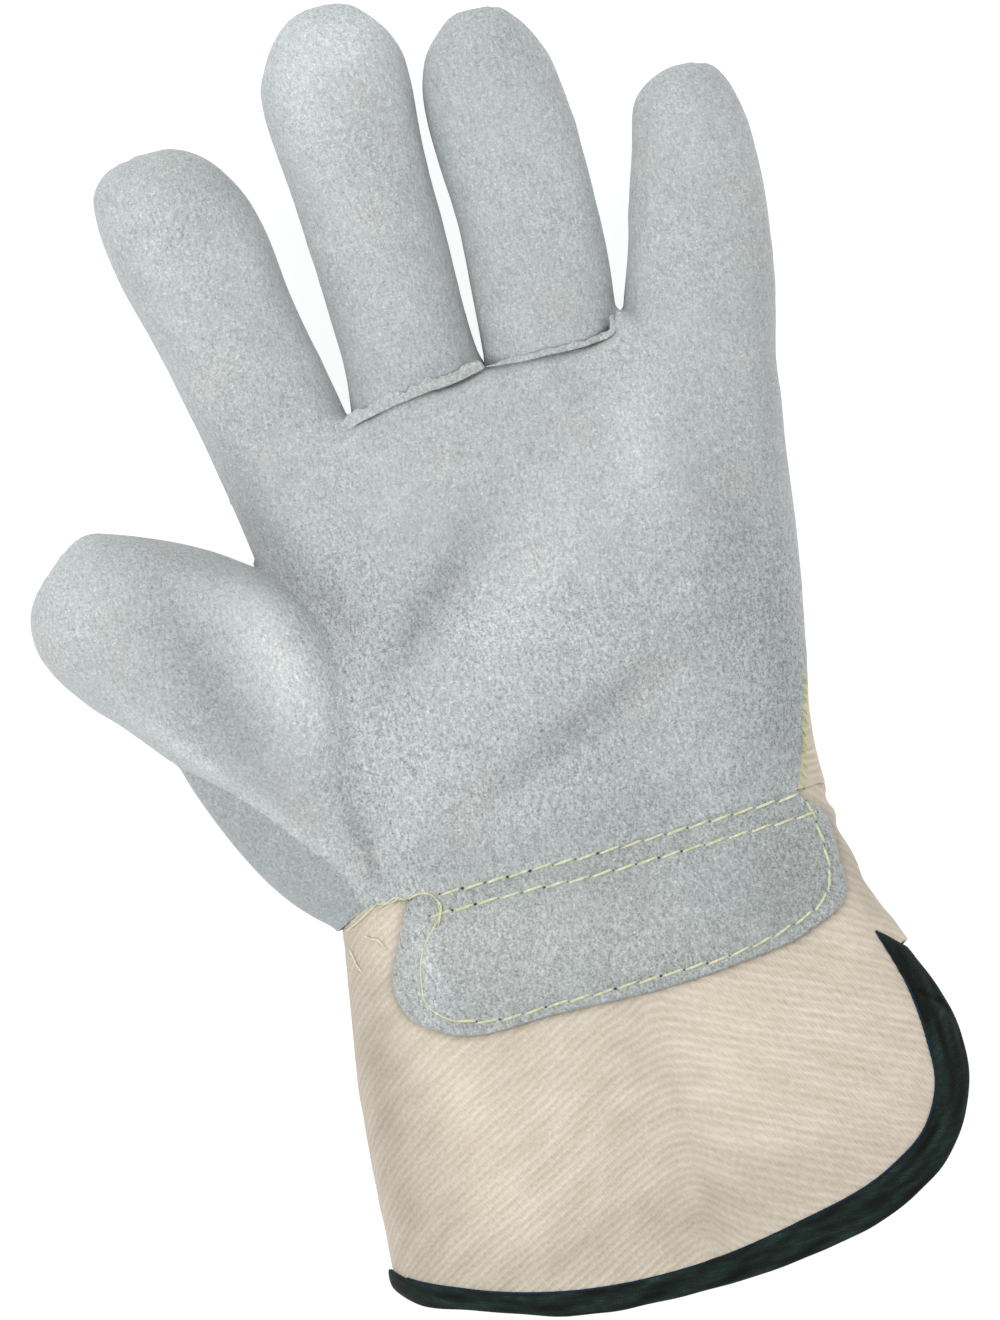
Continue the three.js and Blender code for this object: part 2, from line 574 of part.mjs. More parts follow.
// The cuff, trimmed inside the hem, and the binding folded over its edge
const HEM_STEPS = 20;
const hemLine = smooth(HEM.map(onCuff), HEM_STEPS);
const bindingLine = smooth(BINDING_EDGE.map(onCuff), HEM_STEPS);
const insideHem = (inset) => prism(grown([
  ...hemLine, new THREE.Vector2(REACH, hemLine[HEM_STEPS].y), new THREE.Vector2(REACH, REACH),
  new THREE.Vector2(-REACH, REACH), new THREE.Vector2(-REACH, hemLine[0].y),
], -inset));
const sleeve = (grow) => trunk(grow).intersect(aboveFloor(grow));
addPiece("cuff", shell.subtract(handSide(SEAM_GAP)).intersect(insideHem(TAPE_ROOM)), CANVAS);
const band = prism([...hemLine, ...backwards(bindingLine)]);
const folded = sleeve(TAPE_ROOM).subtract(sleeve(-WALL - TAPE_ROOM)).intersect(band);
const cloth = sleeve(SEAM_GAP).subtract(sleeve(-WALL - SEAM_GAP)).intersect(insideHem(TAPE_THICKNESS));
addPiece("hem_binding", folded.subtract(cloth), TAPE);

// Pieces that lie on the palm side, a seam gap above it
const layer = (thickness) =>
  form(SEAM_GAP + thickness).subtract(form(SEAM_GAP)).intersect(aboveSeams(0));
const PATCH_STEPS = 24;
const patchLine = smooth([...PATCH, PATCH[0]].map(onCuff), PATCH_STEPS).slice(0, -1);
addPiece("pulse_patch", layer(PATCH_THICKNESS).intersect(prism(patchLine)), LEATHER);
function ribbon(points, width) {
  const line = onHandAll(points);
  const side = (distance) => line.map((point, i) => {
    const run = line[Math.min(i + 1, line.length - 1)].clone().sub(line[Math.max(i - 1, 0)]).normalize();
    return new THREE.Vector2(point.x - run.y * distance, point.y + run.x * distance);
  });
  return prism([...side(-width / 2), ...backwards(side(width / 2))]);
}
const raised = layer(WELT_HEIGHT);
const besideMiddle = ribbon(MIDDLE_BASE, WELT_WIDTH + 2 * SEAM_GAP);
addPiece("middle_welt", raised.intersect(ribbon(MIDDLE_BASE, WELT_WIDTH)), LEATHER_EDGE);
addPiece("ring_welt", raised.intersect(ribbon(RING_BASE, WELT_WIDTH)).subtract(besideMiddle), LEATHER_EDGE);

// The glove stands with its box's lowest face on the origin
const box = new THREE.Box3().setFromObject(glove);
const centre = box.getCenter(new THREE.Vector3());
glove.position.set(-centre.x, -centre.y, -box.min.z);

export default glove;
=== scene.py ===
"""Dresses the left-hand rigger glove that lies on its back: leather, canvas cuff, tape, patch and stitches.

Shapes are worked out in millimetres in the hand's own frame (X across, away from the thumb, Y from the wrist
seam to the fingertips, Z up from the surface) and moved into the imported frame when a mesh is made.
"""

import logging
import math
from dataclasses import dataclass
from enum import Enum
from functools import cache
from typing import Callable

import bpy
import numpy as np
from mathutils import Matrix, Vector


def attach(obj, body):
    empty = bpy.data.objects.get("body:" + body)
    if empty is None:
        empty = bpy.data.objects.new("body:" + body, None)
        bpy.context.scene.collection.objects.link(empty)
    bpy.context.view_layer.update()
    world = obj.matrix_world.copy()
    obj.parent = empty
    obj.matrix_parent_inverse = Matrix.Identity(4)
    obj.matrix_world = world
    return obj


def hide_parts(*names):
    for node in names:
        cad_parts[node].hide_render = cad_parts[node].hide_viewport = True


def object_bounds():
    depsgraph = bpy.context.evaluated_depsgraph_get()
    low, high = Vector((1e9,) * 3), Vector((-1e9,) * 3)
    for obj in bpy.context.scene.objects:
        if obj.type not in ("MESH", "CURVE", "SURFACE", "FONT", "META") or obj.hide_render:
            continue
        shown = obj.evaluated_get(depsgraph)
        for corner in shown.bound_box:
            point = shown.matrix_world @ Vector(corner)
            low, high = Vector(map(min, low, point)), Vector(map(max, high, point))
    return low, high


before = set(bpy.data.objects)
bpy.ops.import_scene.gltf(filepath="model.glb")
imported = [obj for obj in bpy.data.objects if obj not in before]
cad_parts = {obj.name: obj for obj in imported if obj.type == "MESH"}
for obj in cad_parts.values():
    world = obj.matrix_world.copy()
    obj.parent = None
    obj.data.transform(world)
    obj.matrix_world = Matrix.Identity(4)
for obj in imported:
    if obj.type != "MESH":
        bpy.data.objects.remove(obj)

import openvdb as vdb
from mathutils import Vector

CAD_BOX = [list(corner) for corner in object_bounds()]
log = logging.getLogger("rigger_glove")

MM = 0.001

# Sizes of the glove, in millimetres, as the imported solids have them
HAND_LENGTH = 104.0
HAND_WIDTH = 120.0
HAND_DEPTH = 38.0
CUFF_LENGTH = 96.0
CUFF_WIDTH = 130.0
CUFF_DEPTH = 44.0
SEAM_HEIGHT = 17.0
FINGER_CURL = 5.0
WALL = 1.5
PATCH_THICKNESS = 1.3
TAPE_THICKNESS = 0.8
SEAM_GAP = 0.3
TAPE_ROOM = TAPE_THICKNESS + SEAM_GAP
KNUCKLE_LINE = 88.0
TRUNK_SQUARENESS = 2.5
FINGER_SQUARENESS = 2.2
THUMB_REACH = 105.01  # wrist centre to the thumb's far side
HEM_REACH = 96.52  # wrist centre to the hem's lowest point
LAST_ROW = 0.994  # share of a digit's length where its last section stands, before the round end
LEAST_RADIUS = 0.05  # of a digit's section at its very tip

# How roundly the tubes of the hand's form run into each other, in millimetres
FLOOR_BLEND = 2.0
HAND_FLOOR_BLEND = 3.0
CUFF_FLOOR_BLEND = 2.5
WEB_BLEND = 6.0
FINGER_BLEND = 2.0
OUTER_FINGER_FLOW = 6.0  # more for the index and little fingers, on the upper side
FORK_BLEND = 0.4
GUSSET_BLEND = 3.0
THUMB_BLEND = 1.2
THUMB_FLOW = 5.0  # more where the thumb's leaf runs into the palm

# Half widths of the grooves along the seams, of the leather's shading by them, and of the tape's details
CRACK_WIDTH = 0.9
VALLEY_WIDTH = 4.6
FOLD_WIDTH = 0.8
SHADE_WIDTH = 4.0
TAPE_FOLD_WIDTH = 0.6
STITCH_DENT_WIDTH = 0.9

# The photograph: its frame in pixels, its scale, and where the wrist's centre stands in it
PHOTO_WIDTH = 1000.0
PHOTO_HEIGHT = 1320.0
PIXELS_PER_MM = 4.7
WRIST_PIXEL = (587.0, 849.0)
HAND_LEAN = 12.5  # degrees that the hand leans to the left in the photograph

Array = np.ndarray
Tree = bpy.types.NodeTree
Socket = bpy.types.NodeSocket
Piece = bpy.types.Object
Colour = tuple[float, float, float, float]


@dataclass(frozen=True)
class Section:
    """A cross-section of a tube: its place and edges as shares of the tube's length and width, its heights
    over and under the side seam as shares of its depth, and its seam's own rise."""

    along: float
    left: float
    right: float
    crown: float
    keel: float
    rise: float = 0.0


@dataclass(frozen=True)
class Mound:
    """A mound or hollow of the palm: shares of the hand's width, length and depth, turn in degrees."""

    across: float
    along: float
    wide: float
    long: float
    height: float
    turn: float


CUFF_ROWS = (
    Section(-1.25, -0.457, 0.63, 0.57, 0.5),
    Section(-0.95, -0.462, 0.615, 0.57, 0.5),
    Section(-0.75, -0.459, 0.59, 0.56, 0.5),
    Section(-0.55, -0.456, 0.55, 0.53, 0.49),
    Section(-0.38, -0.45, 0.492, 0.5, 0.48),
    Section(-0.22, -0.434, 0.435, 0.46, 0.48),
    Section(-0.1, -0.423, 0.411, 0.42, 0.47),
)
PALM_ROWS = (
    Section(0, -0.452, 0.438, 0.45, 0.53),
    Section(0.14, -0.436, 0.434, 0.48, 0.53),
    Section(0.34, -0.43, 0.46, 0.51, 0.54),
    Section(0.56, -0.436, 0.486, 0.52, 0.54),
    Section(0.74, -0.458, 0.5, 0.49, 0.52),
    Section(0.86, -0.468, 0.512, 0.43, 0.48),
    Section(0.945, -0.472, 0.5, 0.37, 0.41),
)


def round_sections(*rows: tuple[float, ...]) -> tuple[Section, ...]:
    """Sections as deep over the seam as under it, from rows of along, left, right, whole depth and rise."""
    return tuple(Section(*row[:3], row[3] / 2, row[3] / 2, *row[4:]) for row in rows)


@dataclass(frozen=True)
class Digit:
    """A finger, the thumb or its gusset: a tube along a leaning axis of its own."""

    base: tuple[float, float]
    lean: float
    length: float
    width: float
    depth: float
    rows: tuple[Section, ...]


FINGERS = {
    "index": Digit((-0.365, 0.814), 9.14, 81.9, 0.278, 28.0, round_sections(
        (-0.25, -0.38, 0.46, 0.8), (0.02, -0.4, 0.5, 1), (0.16, -0.415, 0.495, 1.02),
        (0.3, -0.44, 0.475, 1), (0.5, -0.479, 0.44, 0.97), (0.7, -0.551, 0.447, 0.96),
        (0.8, -0.557, 0.414, 0.93), (0.88, -0.543, 0.339, 0.82), (0.94, -0.509, 0.243, 0.66),
        (0.975, -0.44, 0.14, 0.46), (1, -0.32, 0, 0.2),
    )),
    "middle": Digit((-0.113, 0.969), -0.31, 86.6, 0.268, 28.0, round_sections(
        (-0.25, -0.47, 0.47, 0.8), (0, -0.49, 0.485, 1), (0.06, -0.452, 0.435, 1),
        (0.2, -0.477, 0.402, 1), (0.4, -0.517, 0.386, 0.98), (0.6, -0.576, 0.361, 0.96),
        (0.75, -0.628, 0.376, 0.95), (0.85, -0.601, 0.364, 0.86), (0.92, -0.5, 0.28, 0.7),
        (0.97, -0.38, 0.162, 0.48), (1, -0.25, 0.04, 0.2),
    )),
    "ring": Digit((0.132, 1.008), -2.53, 75.0, 0.255, 27.0, round_sections(
        (-0.35, -0.49, 0.5, 0.8), (0, -0.485, 0.485, 1), (0.08, -0.482, 0.48, 1), (0.2, -0.49, 0.5, 1),
        (0.4, -0.497, 0.474, 0.98), (0.6, -0.565, 0.441, 0.96), (0.75, -0.595, 0.385, 0.94),
        (0.85, -0.562, 0.324, 0.86), (0.92, -0.475, 0.225, 0.7), (0.97, -0.366, 0.124, 0.48),
        (1, -0.26, 0.03, 0.2),
    )),
    "little": Digit((0.402, 0.985), -9.08, 57.1, 0.264, 26.0, round_sections(
        (-0.5, -0.5, 0.43, 0.85), (0, -0.56, 0.485, 1), (0.12, -0.535, 0.495, 1.02),
        (0.3, -0.483, 0.492, 1), (0.5, -0.457, 0.47, 0.98), (0.7, -0.413, 0.41, 0.93),
        (0.82, -0.402, 0.352, 0.84), (0.9, -0.353, 0.287, 0.7), (0.96, -0.23, 0.22, 0.5),
        (1, -0.08, 0.12, 0.2),
    )),
}
THUMB = Digit((-0.367, 0.123), 42.5, 88.4, 0.383, 36.0, round_sections(
        (-0.1, -0.22, 0.02, 0.42, 0.02), (0.05, -0.22, 0.16, 0.58, 0.06), (0.2, -0.215, 0.42, 0.82, 0.09),
        (0.33, -0.22, 0.66, 0.96, 0.11), (0.45, -0.255, 0.76, 1, 0.12), (0.6, -0.252, 0.709, 0.94, 0.13),
        (0.7, -0.261, 0.652, 0.88, 0.13), (0.8, -0.257, 0.585, 0.82, 0.13),
        (0.88, -0.226, 0.51, 0.72, 0.13), (0.94, -0.165, 0.44, 0.58, 0.13),
        (0.975, -0.09, 0.4, 0.42, 0.13), (1, 0.02, 0.3, 0.2, 0.13),
))
GUSSET = Digit(THUMB.base, THUMB.lean, THUMB.length, THUMB.width, 27.0, round_sections(
        (-0.18, -0.38, 0.3, 0.7, -0.04), (-0.03, -0.47, 0.4, 0.92, -0.04), (0.09, -0.474, 0.5, 1, -0.03),
        (0.2, -0.439, 0.55, 1, -0.02), (0.3, -0.385, 0.55, 0.95, 0), (0.4, -0.32, 0.5, 0.85, 0.03),
        (0.52, -0.22, 0.42, 0.6, 0.08),
))

RELIEF = (
    Mound(0.25, 0.8, 0.12, 0.13, 0.05, 0),
    Mound(0.12, 0.38, 0.13, 0.4, 0.05, -38),
    Mound(-0.14, 0.6, 0.06, 0.26, -0.045, -48),
    Mound(0.3, 0.25, 0.14, 0.26, 0.04, 0),
    Mound(-0.3, 0.84, 0.12, 0.12, 0.03, 10),
)


@dataclass(frozen=True)
class Mark:
    """A soft fold or a place whose colour is made lighter or darker, painted light and shade on the leather:
    its middle, width and length in millimetres, the way its length runs in degrees from X, how much lighter
    or darker its colour is made, and its height."""

    x: float
    y: float
    wide: float
    long: float
    turn: float
    shade: float
    rise: float = 0.0


# Folds of the leather, and places of painted light and shade on it, from the thumb round to the palm's foot
LEATHER_MARKS = (
    Mark(-53, 50.5, 7.5, 20, -74, 0.4, 1),
    Mark(-70.5, 52, 6, 24, -72, -0.22, -1.2),
    Mark(-95.3, 73.2, 9.6, 14.9, -92, 0.1),
    Mark(-73.7, 33.1, 1.9, 25.5, -48, 0.22, 0.4),
    Mark(-60.4, 73.7, 3, 19.1, -28, -0.12),
    Mark(-47.5, 70, 6, 17, -62, -0.16, -0.9),
    Mark(-39.9, 128.3, 5, 24.3, -74, 0.12),
    Mark(-60.5, 141.8, 7.2, 25.5, -76, 0.12),
    Mark(-24.8, 171, 7, 21.3, -88, 0.24),
    Mark(-14, 180, 9, 9, 0, 0.36),
    Mark(-2.8, 130.1, 2.8, 22.3, -84, 0.02),
    Mark(-4.5, 160, 3.6, 18, -84, 0.16),
    Mark(-8.7, 105.2, 4.3, 10.6, -2, -0.1),
    Mark(0.8, 152.2, 2.1, 14.9, -84, -0.14),
    Mark(27.6, 138.1, 4.5, 24.3, -90, 0.13),
    Mark(51.7, 149.6, 5.1, 6, 78, 0.09),
    Mark(58.3, 84.9, 3, 36.2, -100, -0.08),
    Mark(29.6, 81.5, 7.5, 15.2, -92, 0.2, 0.6),
    Mark(-1.4, 54.6, 8.5, 29.8, 42, 0.17, 0.8),
    Mark(-20.7, 58.2, 3.6, 23.3, 46, -0.24, -1.2),
    Mark(3.1, 25.7, 3.8, 24.5, 26, -0.24, -1.2),
    Mark(-26.4, 25.3, 5.5, 14.9, 36, 0.07),
    Mark(49, 25.6, 4.7, 20.4, -96, -0.19),
    Mark(40.2, 42.9, 9.6, 31.9, -96, -0.1),
    Mark(46, 61, 7, 18, -95, -0.09, -0.3),
    Mark(6.8, 3.3, 7.2, 40.4, 4, -0.13),
    Mark(-38.5, -16.6, 3.4, 11.7, -96, 0.24),
    Mark(39.2, -17.6, 9.6, 12.8, -92, -0.16),
    Mark(4.7, -30.7, 4.7, 31.9, 0, -0.05),
    Mark(47.1, 1.6, 1.5, 1.5, 0, 0.4, 0.3),
    Mark(20, 13, 9, 30, 18, -0.03),
    Mark(-29, 4, 6, 13, 0, -0.09),
    Mark(43, 12, 6, 9, -90, -0.06),
    Mark(-26, -12, 7, 12, 0, 0.09),
    Mark(6, -17, 9, 30, 3, 0.05),
    Mark(-45.6, 9.9, 1.4, 9, -82, -0.28, -0.5),
    Mark(-40.3, 62.5, 2, 8, -75, -0.08, -0.3),
    Mark(-52.8, 82, 4.6, 17, -74, -0.2),
)
# Folds of the canvas, and places where its colour is made lighter or darker
CANVAS_MARKS = (
    Mark(-54.4, -44.6, 5, 36.2, -92, -0.2, -0.8),
    Mark(-38, -48.1, 6.5, 26.4, -82, 0.12, 0.6),
    Mark(-1.5, -58.7, 8.5, 19.1, -92, -0.04, -0.4),
    Mark(-50.6, -74, 6.4, 17, -90, -0.1),
    Mark(23, -46.7, 10.6, 17, -72, 0.06, 0.4),
    Mark(48, -30, 6, 20, -80, 0.05),
    Mark(-45.9, -8.6, 4.7, 6.4, 48, 0.08),
    Mark(54.1, -14.4, 2.6, 12.8, -76, -0.2),
    Mark(-48, -42, 14, 45, -88, -0.1),
    Mark(-5, -82, 9, 55, 4, -0.17),
)

# Seams in plan, as shares of the hand's width and length
WRIST_SEAM = ((-1.2, -0.16), (-0.47, -0.058), (-0.4, -0.02), (-0.33, -0.02), (0, -0.012), (0.383, 0.026),
              (1.2, 0.09))
THUMB_CROTCH = (-0.457, 0.697)
THUMB_VALLEY = ((-0.4, -0.035), (-0.382, 0.05), (-0.37, 0.24), (-0.354, 0.403), (-0.338, 0.525),
                (-0.343, 0.6))
THUMB_FOLD = ((-0.75, 0.38), (-0.678, 0.343), (-0.616, 0.291), (-0.538, 0.203), (-0.503, 0.154),
              (-0.444, 0.08))
THUMB_BACK_SEAM = ((-0.4, -0.2), (-0.39, 0.1), (-0.39, 0.4))
PALM_WEB = ((-60, 96.0), (-36, 97.5), (-29.1, 99.6), (-22, 100.3), (-14, 101.6), (-6, 102.6), (1.1, 104.8),
            (8, 103.8), (15, 103.9), (24, 104.2), (28.5, 106.0), (31.2, 110.6), (34.5, 106.5), (42, 101.5),
            (60, 98.0))
INDEX_FORK = ((-0.245, 0.945), (-0.272, 1.2), (-0.315, 1.44), (-0.34, 2))
MIDDLE_FORK = ((0.008, 1.006), (0.003, 1.2), (-0.005, 1.44), (0, 1.6), (0.02, 1.7), (0.02, 2))
RING_FORK = ((0.246, 1.02), (0.28, 1.15), (0.31, 1.44), (0.34, 2))
MIDDLE_BASE = ((-0.245, 0.945), (-0.181, 0.966), (-0.115, 0.981), (-0.05, 0.99), (0.008, 1.006))
RING_BASE = ((0.008, 1.006), (0.07, 1.002), (0.126, 1.003), (0.2, 1.006), (0.246, 1.02))
PALM_OUTER_SEAM = ((0.49, 0.36), (0.4325, 0.2), (0.405, 0.083), (0.386, 0.025))
OUTSIDE_THUMB = ((-0.56, 0.865), (-0.75, 1), (-1.2, 1), (-1.2, 0.4))
OUTSIDE_INDEX = ((-0.65, 1.2), (-0.75, 2))
OUTSIDE_LITTLE = ((1, 2), (1, 0.38))
BELOW_THUMB = ((-0.4, -0.3), (-1.2, -0.3))

# The hem, the binding's inner edge and the patch, as shares of the cuff's width and length
HEM = ((-0.5, -0.78), (-0.47, -0.85), (-0.43, -0.9), (-0.35, -0.935), (-0.2, -0.992), (0.02, -1.005),
       (0.2, -0.982), (0.37, -0.92), (0.475, -0.82), (0.525, -0.69), (0.531, -0.58), (0.512, -0.47),
       (0.474, -0.36))
BINDING_EDGE = ((-0.5, -0.76), (-0.45, -0.83), (-0.35, -0.89), (-0.2, -0.94), (0.02, -0.948),
                (0.2, -0.905), (0.37, -0.83), (0.44, -0.76), (0.473, -0.67), (0.475, -0.57),
                (0.464, -0.45), (0.432, -0.314))
PATCH = ((-0.305, -0.03), (-0.34, -0.13), (-0.358, -0.2), (-0.345, -0.275), (-0.29, -0.33), (-0.1, -0.34),
         (0.2, -0.318), (0.33, -0.28), (0.396, -0.225), (0.4, -0.14), (0.386, -0.02), (0.36, 0.012),
         (0.2, -0.008), (-0.1, -0.022))


def on_hand(points: tuple) -> Array:
    """Points given as shares of the hand's width and length, in millimetres."""
    return np.array(points, dtype=float) * (HAND_WIDTH, HAND_LENGTH)


def on_cuff(points: tuple) -> Array:
    """Points given as shares of the cuff's width and length, in millimetres."""
    return np.array(points, dtype=float) * (CUFF_WIDTH, CUFF_LENGTH)


def smooth_table(stops: Array, values: Array, at: Array) -> Array:
    """Values of a table between its rows: cubics whose slope at each row is the table's mean slope there.

    Args:
        stops: where the rows stand, rising.
        values: one row of columns for each stop.
        at: where to read the table, of any shape.

    Returns:
        The columns at each place, in a last axis.
    """
    slopes = np.gradient(values, stops, axis=0)
    low = np.clip(np.searchsorted(stops, at, side="right") - 1, 0, len(stops) - 2)
    step = stops[low + 1] - stops[low]
    share = np.clip((at - stops[low]) / step, 0.0, 1.0)[..., None]
    step = step[..., None]
    rise = share * share * (3 - 2 * share)
    return (
        values[low] * (1 - rise) + values[low + 1] * rise
        + slopes[low] * step * share * (1 - share) ** 2
        - slopes[low + 1] * step * share * share * (1 - share)
    )


def softened(values: Array, spread: float) -> Array:
    """A table of evenly spaced rows averaged with its neighbours under a bell, its ends kept in place by
    turning it about them.

    Args:
        values: the table, a row of columns at each even step.
        spread: the bell's width, in rows.

    Returns:
        The softened table, as long as the first.
    """
    reach = int(3 * spread)
    weight = np.exp(-((np.arange(-reach, reach + 1) / spread) ** 2))
    weight /= weight.sum()
    low = 2 * values[:1] - values[reach:0:-1]
    high = 2 * values[-1:] - values[-2:-reach - 2:-1]
    padded = np.vstack([low, values, high])
    return np.stack([np.convolve(column, weight, "valid") for column in padded.T], axis=1)


def way_along(line: Array) -> Array:
    """Length along a polyline to each of its points, from nought at its start."""
    return np.concatenate([[0], np.cumsum(np.linalg.norm(np.diff(line, axis=0), axis=1))])


def at_ways(line: Array, way: Array, places: Array) -> Array:
    """Points of a polyline at lengths along it, where way holds its own points' lengths."""
    return np.stack([np.interp(places, way, column) for column in line.T], axis=-1)


def smooth_line(points: Array, count: int, closed: bool = False) -> Array:
    """An evenly spaced smooth curve through points, as cubics over the length between them.

    Args:
        points: the curve's points, of two or three columns.
        count: how many points to return.
        closed: whether the curve comes back to its start.

    Returns:
        The points of the curve, count rows.
    """
    if closed:
        points = np.vstack([points[-2:], points, points[:3]])
    length = way_along(points)
    first, last = (length[2], length[-3]) if closed else (length[0], length[-1])
    fine = smooth_table(length, points, np.linspace(first, last, 40 * len(points)))
    run = way_along(fine)
    return at_ways(fine, run, np.linspace(0, run[-1], count, endpoint=not closed))


def inside(points: Array, outline: Array) -> Array:
    """Whether points lie inside a closed outline, counting the outline's edges to the right of each.

    Args:
        points: places in plan, two columns in the last axis.
        outline: the closed outline's points.

    Returns:
        True for each place inside.
    """
    x, y = points[..., 0], points[..., 1]
    result = np.zeros(x.shape, dtype=bool)
    for (ax, ay), (bx, by) in zip(outline, np.roll(outline, -1, axis=0)):
        if ay != by:
            crosses = (ay > y) != (by > y)
            result ^= crosses & (x < (bx - ax) * (y - ay) / (by - ay) + ax)
    return result


def nearest_on(points: Array, line: Array) -> tuple[Array, Array]:
    """The nearest point of a polyline to each point in plan.

    Args:
        points: places in plan, two columns in the last axis.
        line: the polyline's points.

    Returns:
        The distance to the line and the nearest point on it.
    """
    best = np.full(points.shape[:-1], np.inf)
    place = np.zeros(points.shape[:-1] + (2,))
    for start, end in zip(line[:-1], line[1:]):
        run = end - start
        share = np.clip(((points - start) @ run) / (run @ run), 0, 1)
        on_line = start + share[..., None] * run
        distance = np.linalg.norm(points - on_line, axis=-1)
        closer = distance < best
        best = np.where(closer, distance, best)
        place = np.where(closer[..., None], on_line, place)
    return best, place


def seam_height(y: Array) -> Array:
    """Height of the side seams: level, then rising with the fingers' curl as the square of the way past the
    fork."""
    past = np.clip((y - HAND_LENGTH) / FINGERS["middle"].length, 0, None)
    return SEAM_HEIGHT + FINGER_CURL * past * past


def soft_noise(x: Array, y: Array, size: float, seed: int) -> Array:
    """Smooth irregular waves between about -1 and 1: the mean of sines in seeded directions.

    Args:
        x: places across.
        y: places along.
        size: typical length of a wave, in the places' units.
        seed: picks the directions and phases.

    Returns:
        The height of the waves at each place.
    """
    draw = np.random.default_rng(seed)
    total = np.zeros(np.broadcast(x, y).shape)
    waves = 9
    for _ in range(waves):
        angle, phase = draw.uniform(0, 2 * math.pi, 2)
        pitch = 2 * math.pi / (size * draw.uniform(0.6, 1.6))
        total = total + np.sin(pitch * (x * math.cos(angle) + y * math.sin(angle)) + phase)
    return total / math.sqrt(waves)


def smooth_least(one: Array, two: Array, blend: float) -> Array:
    """The lesser of two fields, rounded by a parabola where they differ by less than the blend."""
    near = np.clip(1 - np.abs(one - two) / blend, 0, None)
    return np.minimum(one, two) - blend * near * near / 4


def smooth_greatest(one: Array, two: Array, blend: float) -> Array:
    """The greater of two fields, rounded as smooth_least rounds the lesser."""
    return -smooth_least(-one, -two, blend)


def bell(distance: Array, width: float) -> Array:
    """One at no distance, falling off as a bell over the width."""
    return np.exp(-((distance / width) ** 2))


def ramp(value: Array, low: float, high: float) -> Array:
    """Nought below low, one above high, with a smooth rise between."""
    share = np.clip((value - low) / (high - low), 0, 1)
    return share * share * (3 - 2 * share)


def tube_field(across: Array, height: Array, half: Array, up: Array, down: Array,
               squareness: float) -> Array:
    """Signed distance, roughly, from a superellipse tube: the way from the section's centre, times one minus
    the inverse of the superellipse's radius there. Negative inside.

    Args:
        across: way across from the section's middle.
        height: way up from its seam.
        half: its half width.
        up: its height over the seam.
        down: its depth under the seam.
        squareness: the superellipse's power.

    Returns:
        The field, about in millimetres.
    """
    tall = np.where(height > 0, height / up, height / down)
    radius = (np.abs(across / half) ** squareness + np.abs(tall) ** squareness) ** (1 / squareness)
    return np.hypot(across, height) * (1 - 1 / np.maximum(radius, 1e-3))


def signed_power(value: Array, power: float) -> Array:
    """A power of a value's size that keeps its sign, for places on a superellipse."""
    return np.sign(value) * np.abs(value) ** power


def turned_bell(x: Array, y: Array, turn: float, first: float, second: float) -> Array:
    """One at the origin, falling off as a bell over a turned ellipse.

    Args:
        x: way across from the ellipse's middle.
        y: way along from it.
        turn: degrees from X to the first axis.
        first: reach along the first axis.
        second: reach along the second.

    Returns:
        The bell's height at each place.
    """
    angle = math.radians(turn)
    one = (x * math.cos(angle) + y * math.sin(angle)) / first
    other = (-x * math.sin(angle) + y * math.cos(angle)) / second
    return np.exp(-one * one - other * other)


class Trunk:
    """The cuff and palm as one tube, whose sections follow the rows of the tables."""

    def __init__(self) -> None:
        """Works the tables out in millimetres."""
        table = np.array([
            (row.along * length, row.left * width, row.right * width, row.crown * depth, row.keel * depth)
            for rows, length, width, depth in (
                (CUFF_ROWS, CUFF_LENGTH, CUFF_WIDTH, CUFF_DEPTH),
                (PALM_ROWS, HAND_LENGTH, HAND_WIDTH, HAND_DEPTH))
            for row in rows])
        self.stops = np.linspace(table[0, 0], table[-1, 0], 440)
        self.values = softened(smooth_table(table[:, 0], table[:, 1:], self.stops), 10)

    def section(self, y: Array) -> tuple[Array, Array, Array, Array]:
        """Centre, half width and heights over and under the seam at each place along the hand."""
        left, right, up, down = (np.interp(y, self.stops, column) for column in self.values.T)
        return (left + right) / 2, (right - left) / 2, up, down

    def point(self, angle: Array, y: Array) -> Array:
        """Places on the tube at angles round it, its underside flattened by the floor.

        Args:
            angle: turn round the section from its right side up over the top.
            y: place along the hand, shaped to combine with the angle.

        Returns:
            The places, three columns in the last axis.
        """
        centre, half, up, down = self.section(y)
        power = 2 / TRUNK_SQUARENESS
        rise = signed_power(np.sin(angle), power)
        x = centre + half * signed_power(np.cos(angle), power)
        z = SEAM_HEIGHT + rise * np.where(rise > 0, up, down)
        z = z + np.clip(rise, 0, None) * relief_at(x, y)
        z = smooth_greatest(z, floor_height(y), FLOOR_BLEND)
        return np.stack([x, np.broadcast_to(y, x.shape), z], axis=-1)


def relief_at(x: Array, y: Array) -> Array:
    """Height of the palm's mounds and hollows.

    Args:
        x, y: places across the hand and along it.

    Returns:
        The sum of the mounds' heights at each place.
    """
    height = np.zeros(np.broadcast(x, y).shape)
    for mound in RELIEF:
        dx, dy = x - mound.across * HAND_WIDTH, y - mound.along * HAND_LENGTH
        wide, long = mound.wide * HAND_WIDTH, mound.long * HAND_LENGTH
        height = height + mound.height * HAND_DEPTH * turned_bell(dx, dy, mound.turn, wide, long)
    return height


def floor_height(y: Array) -> Array:
    """Lowest height of the glove's wall, which the hem's tape lifts off the surface."""
    return np.interp(y, (-0.33 * CUFF_LENGTH, -0.15 * CUFF_LENGTH), (TAPE_ROOM, 0.0))


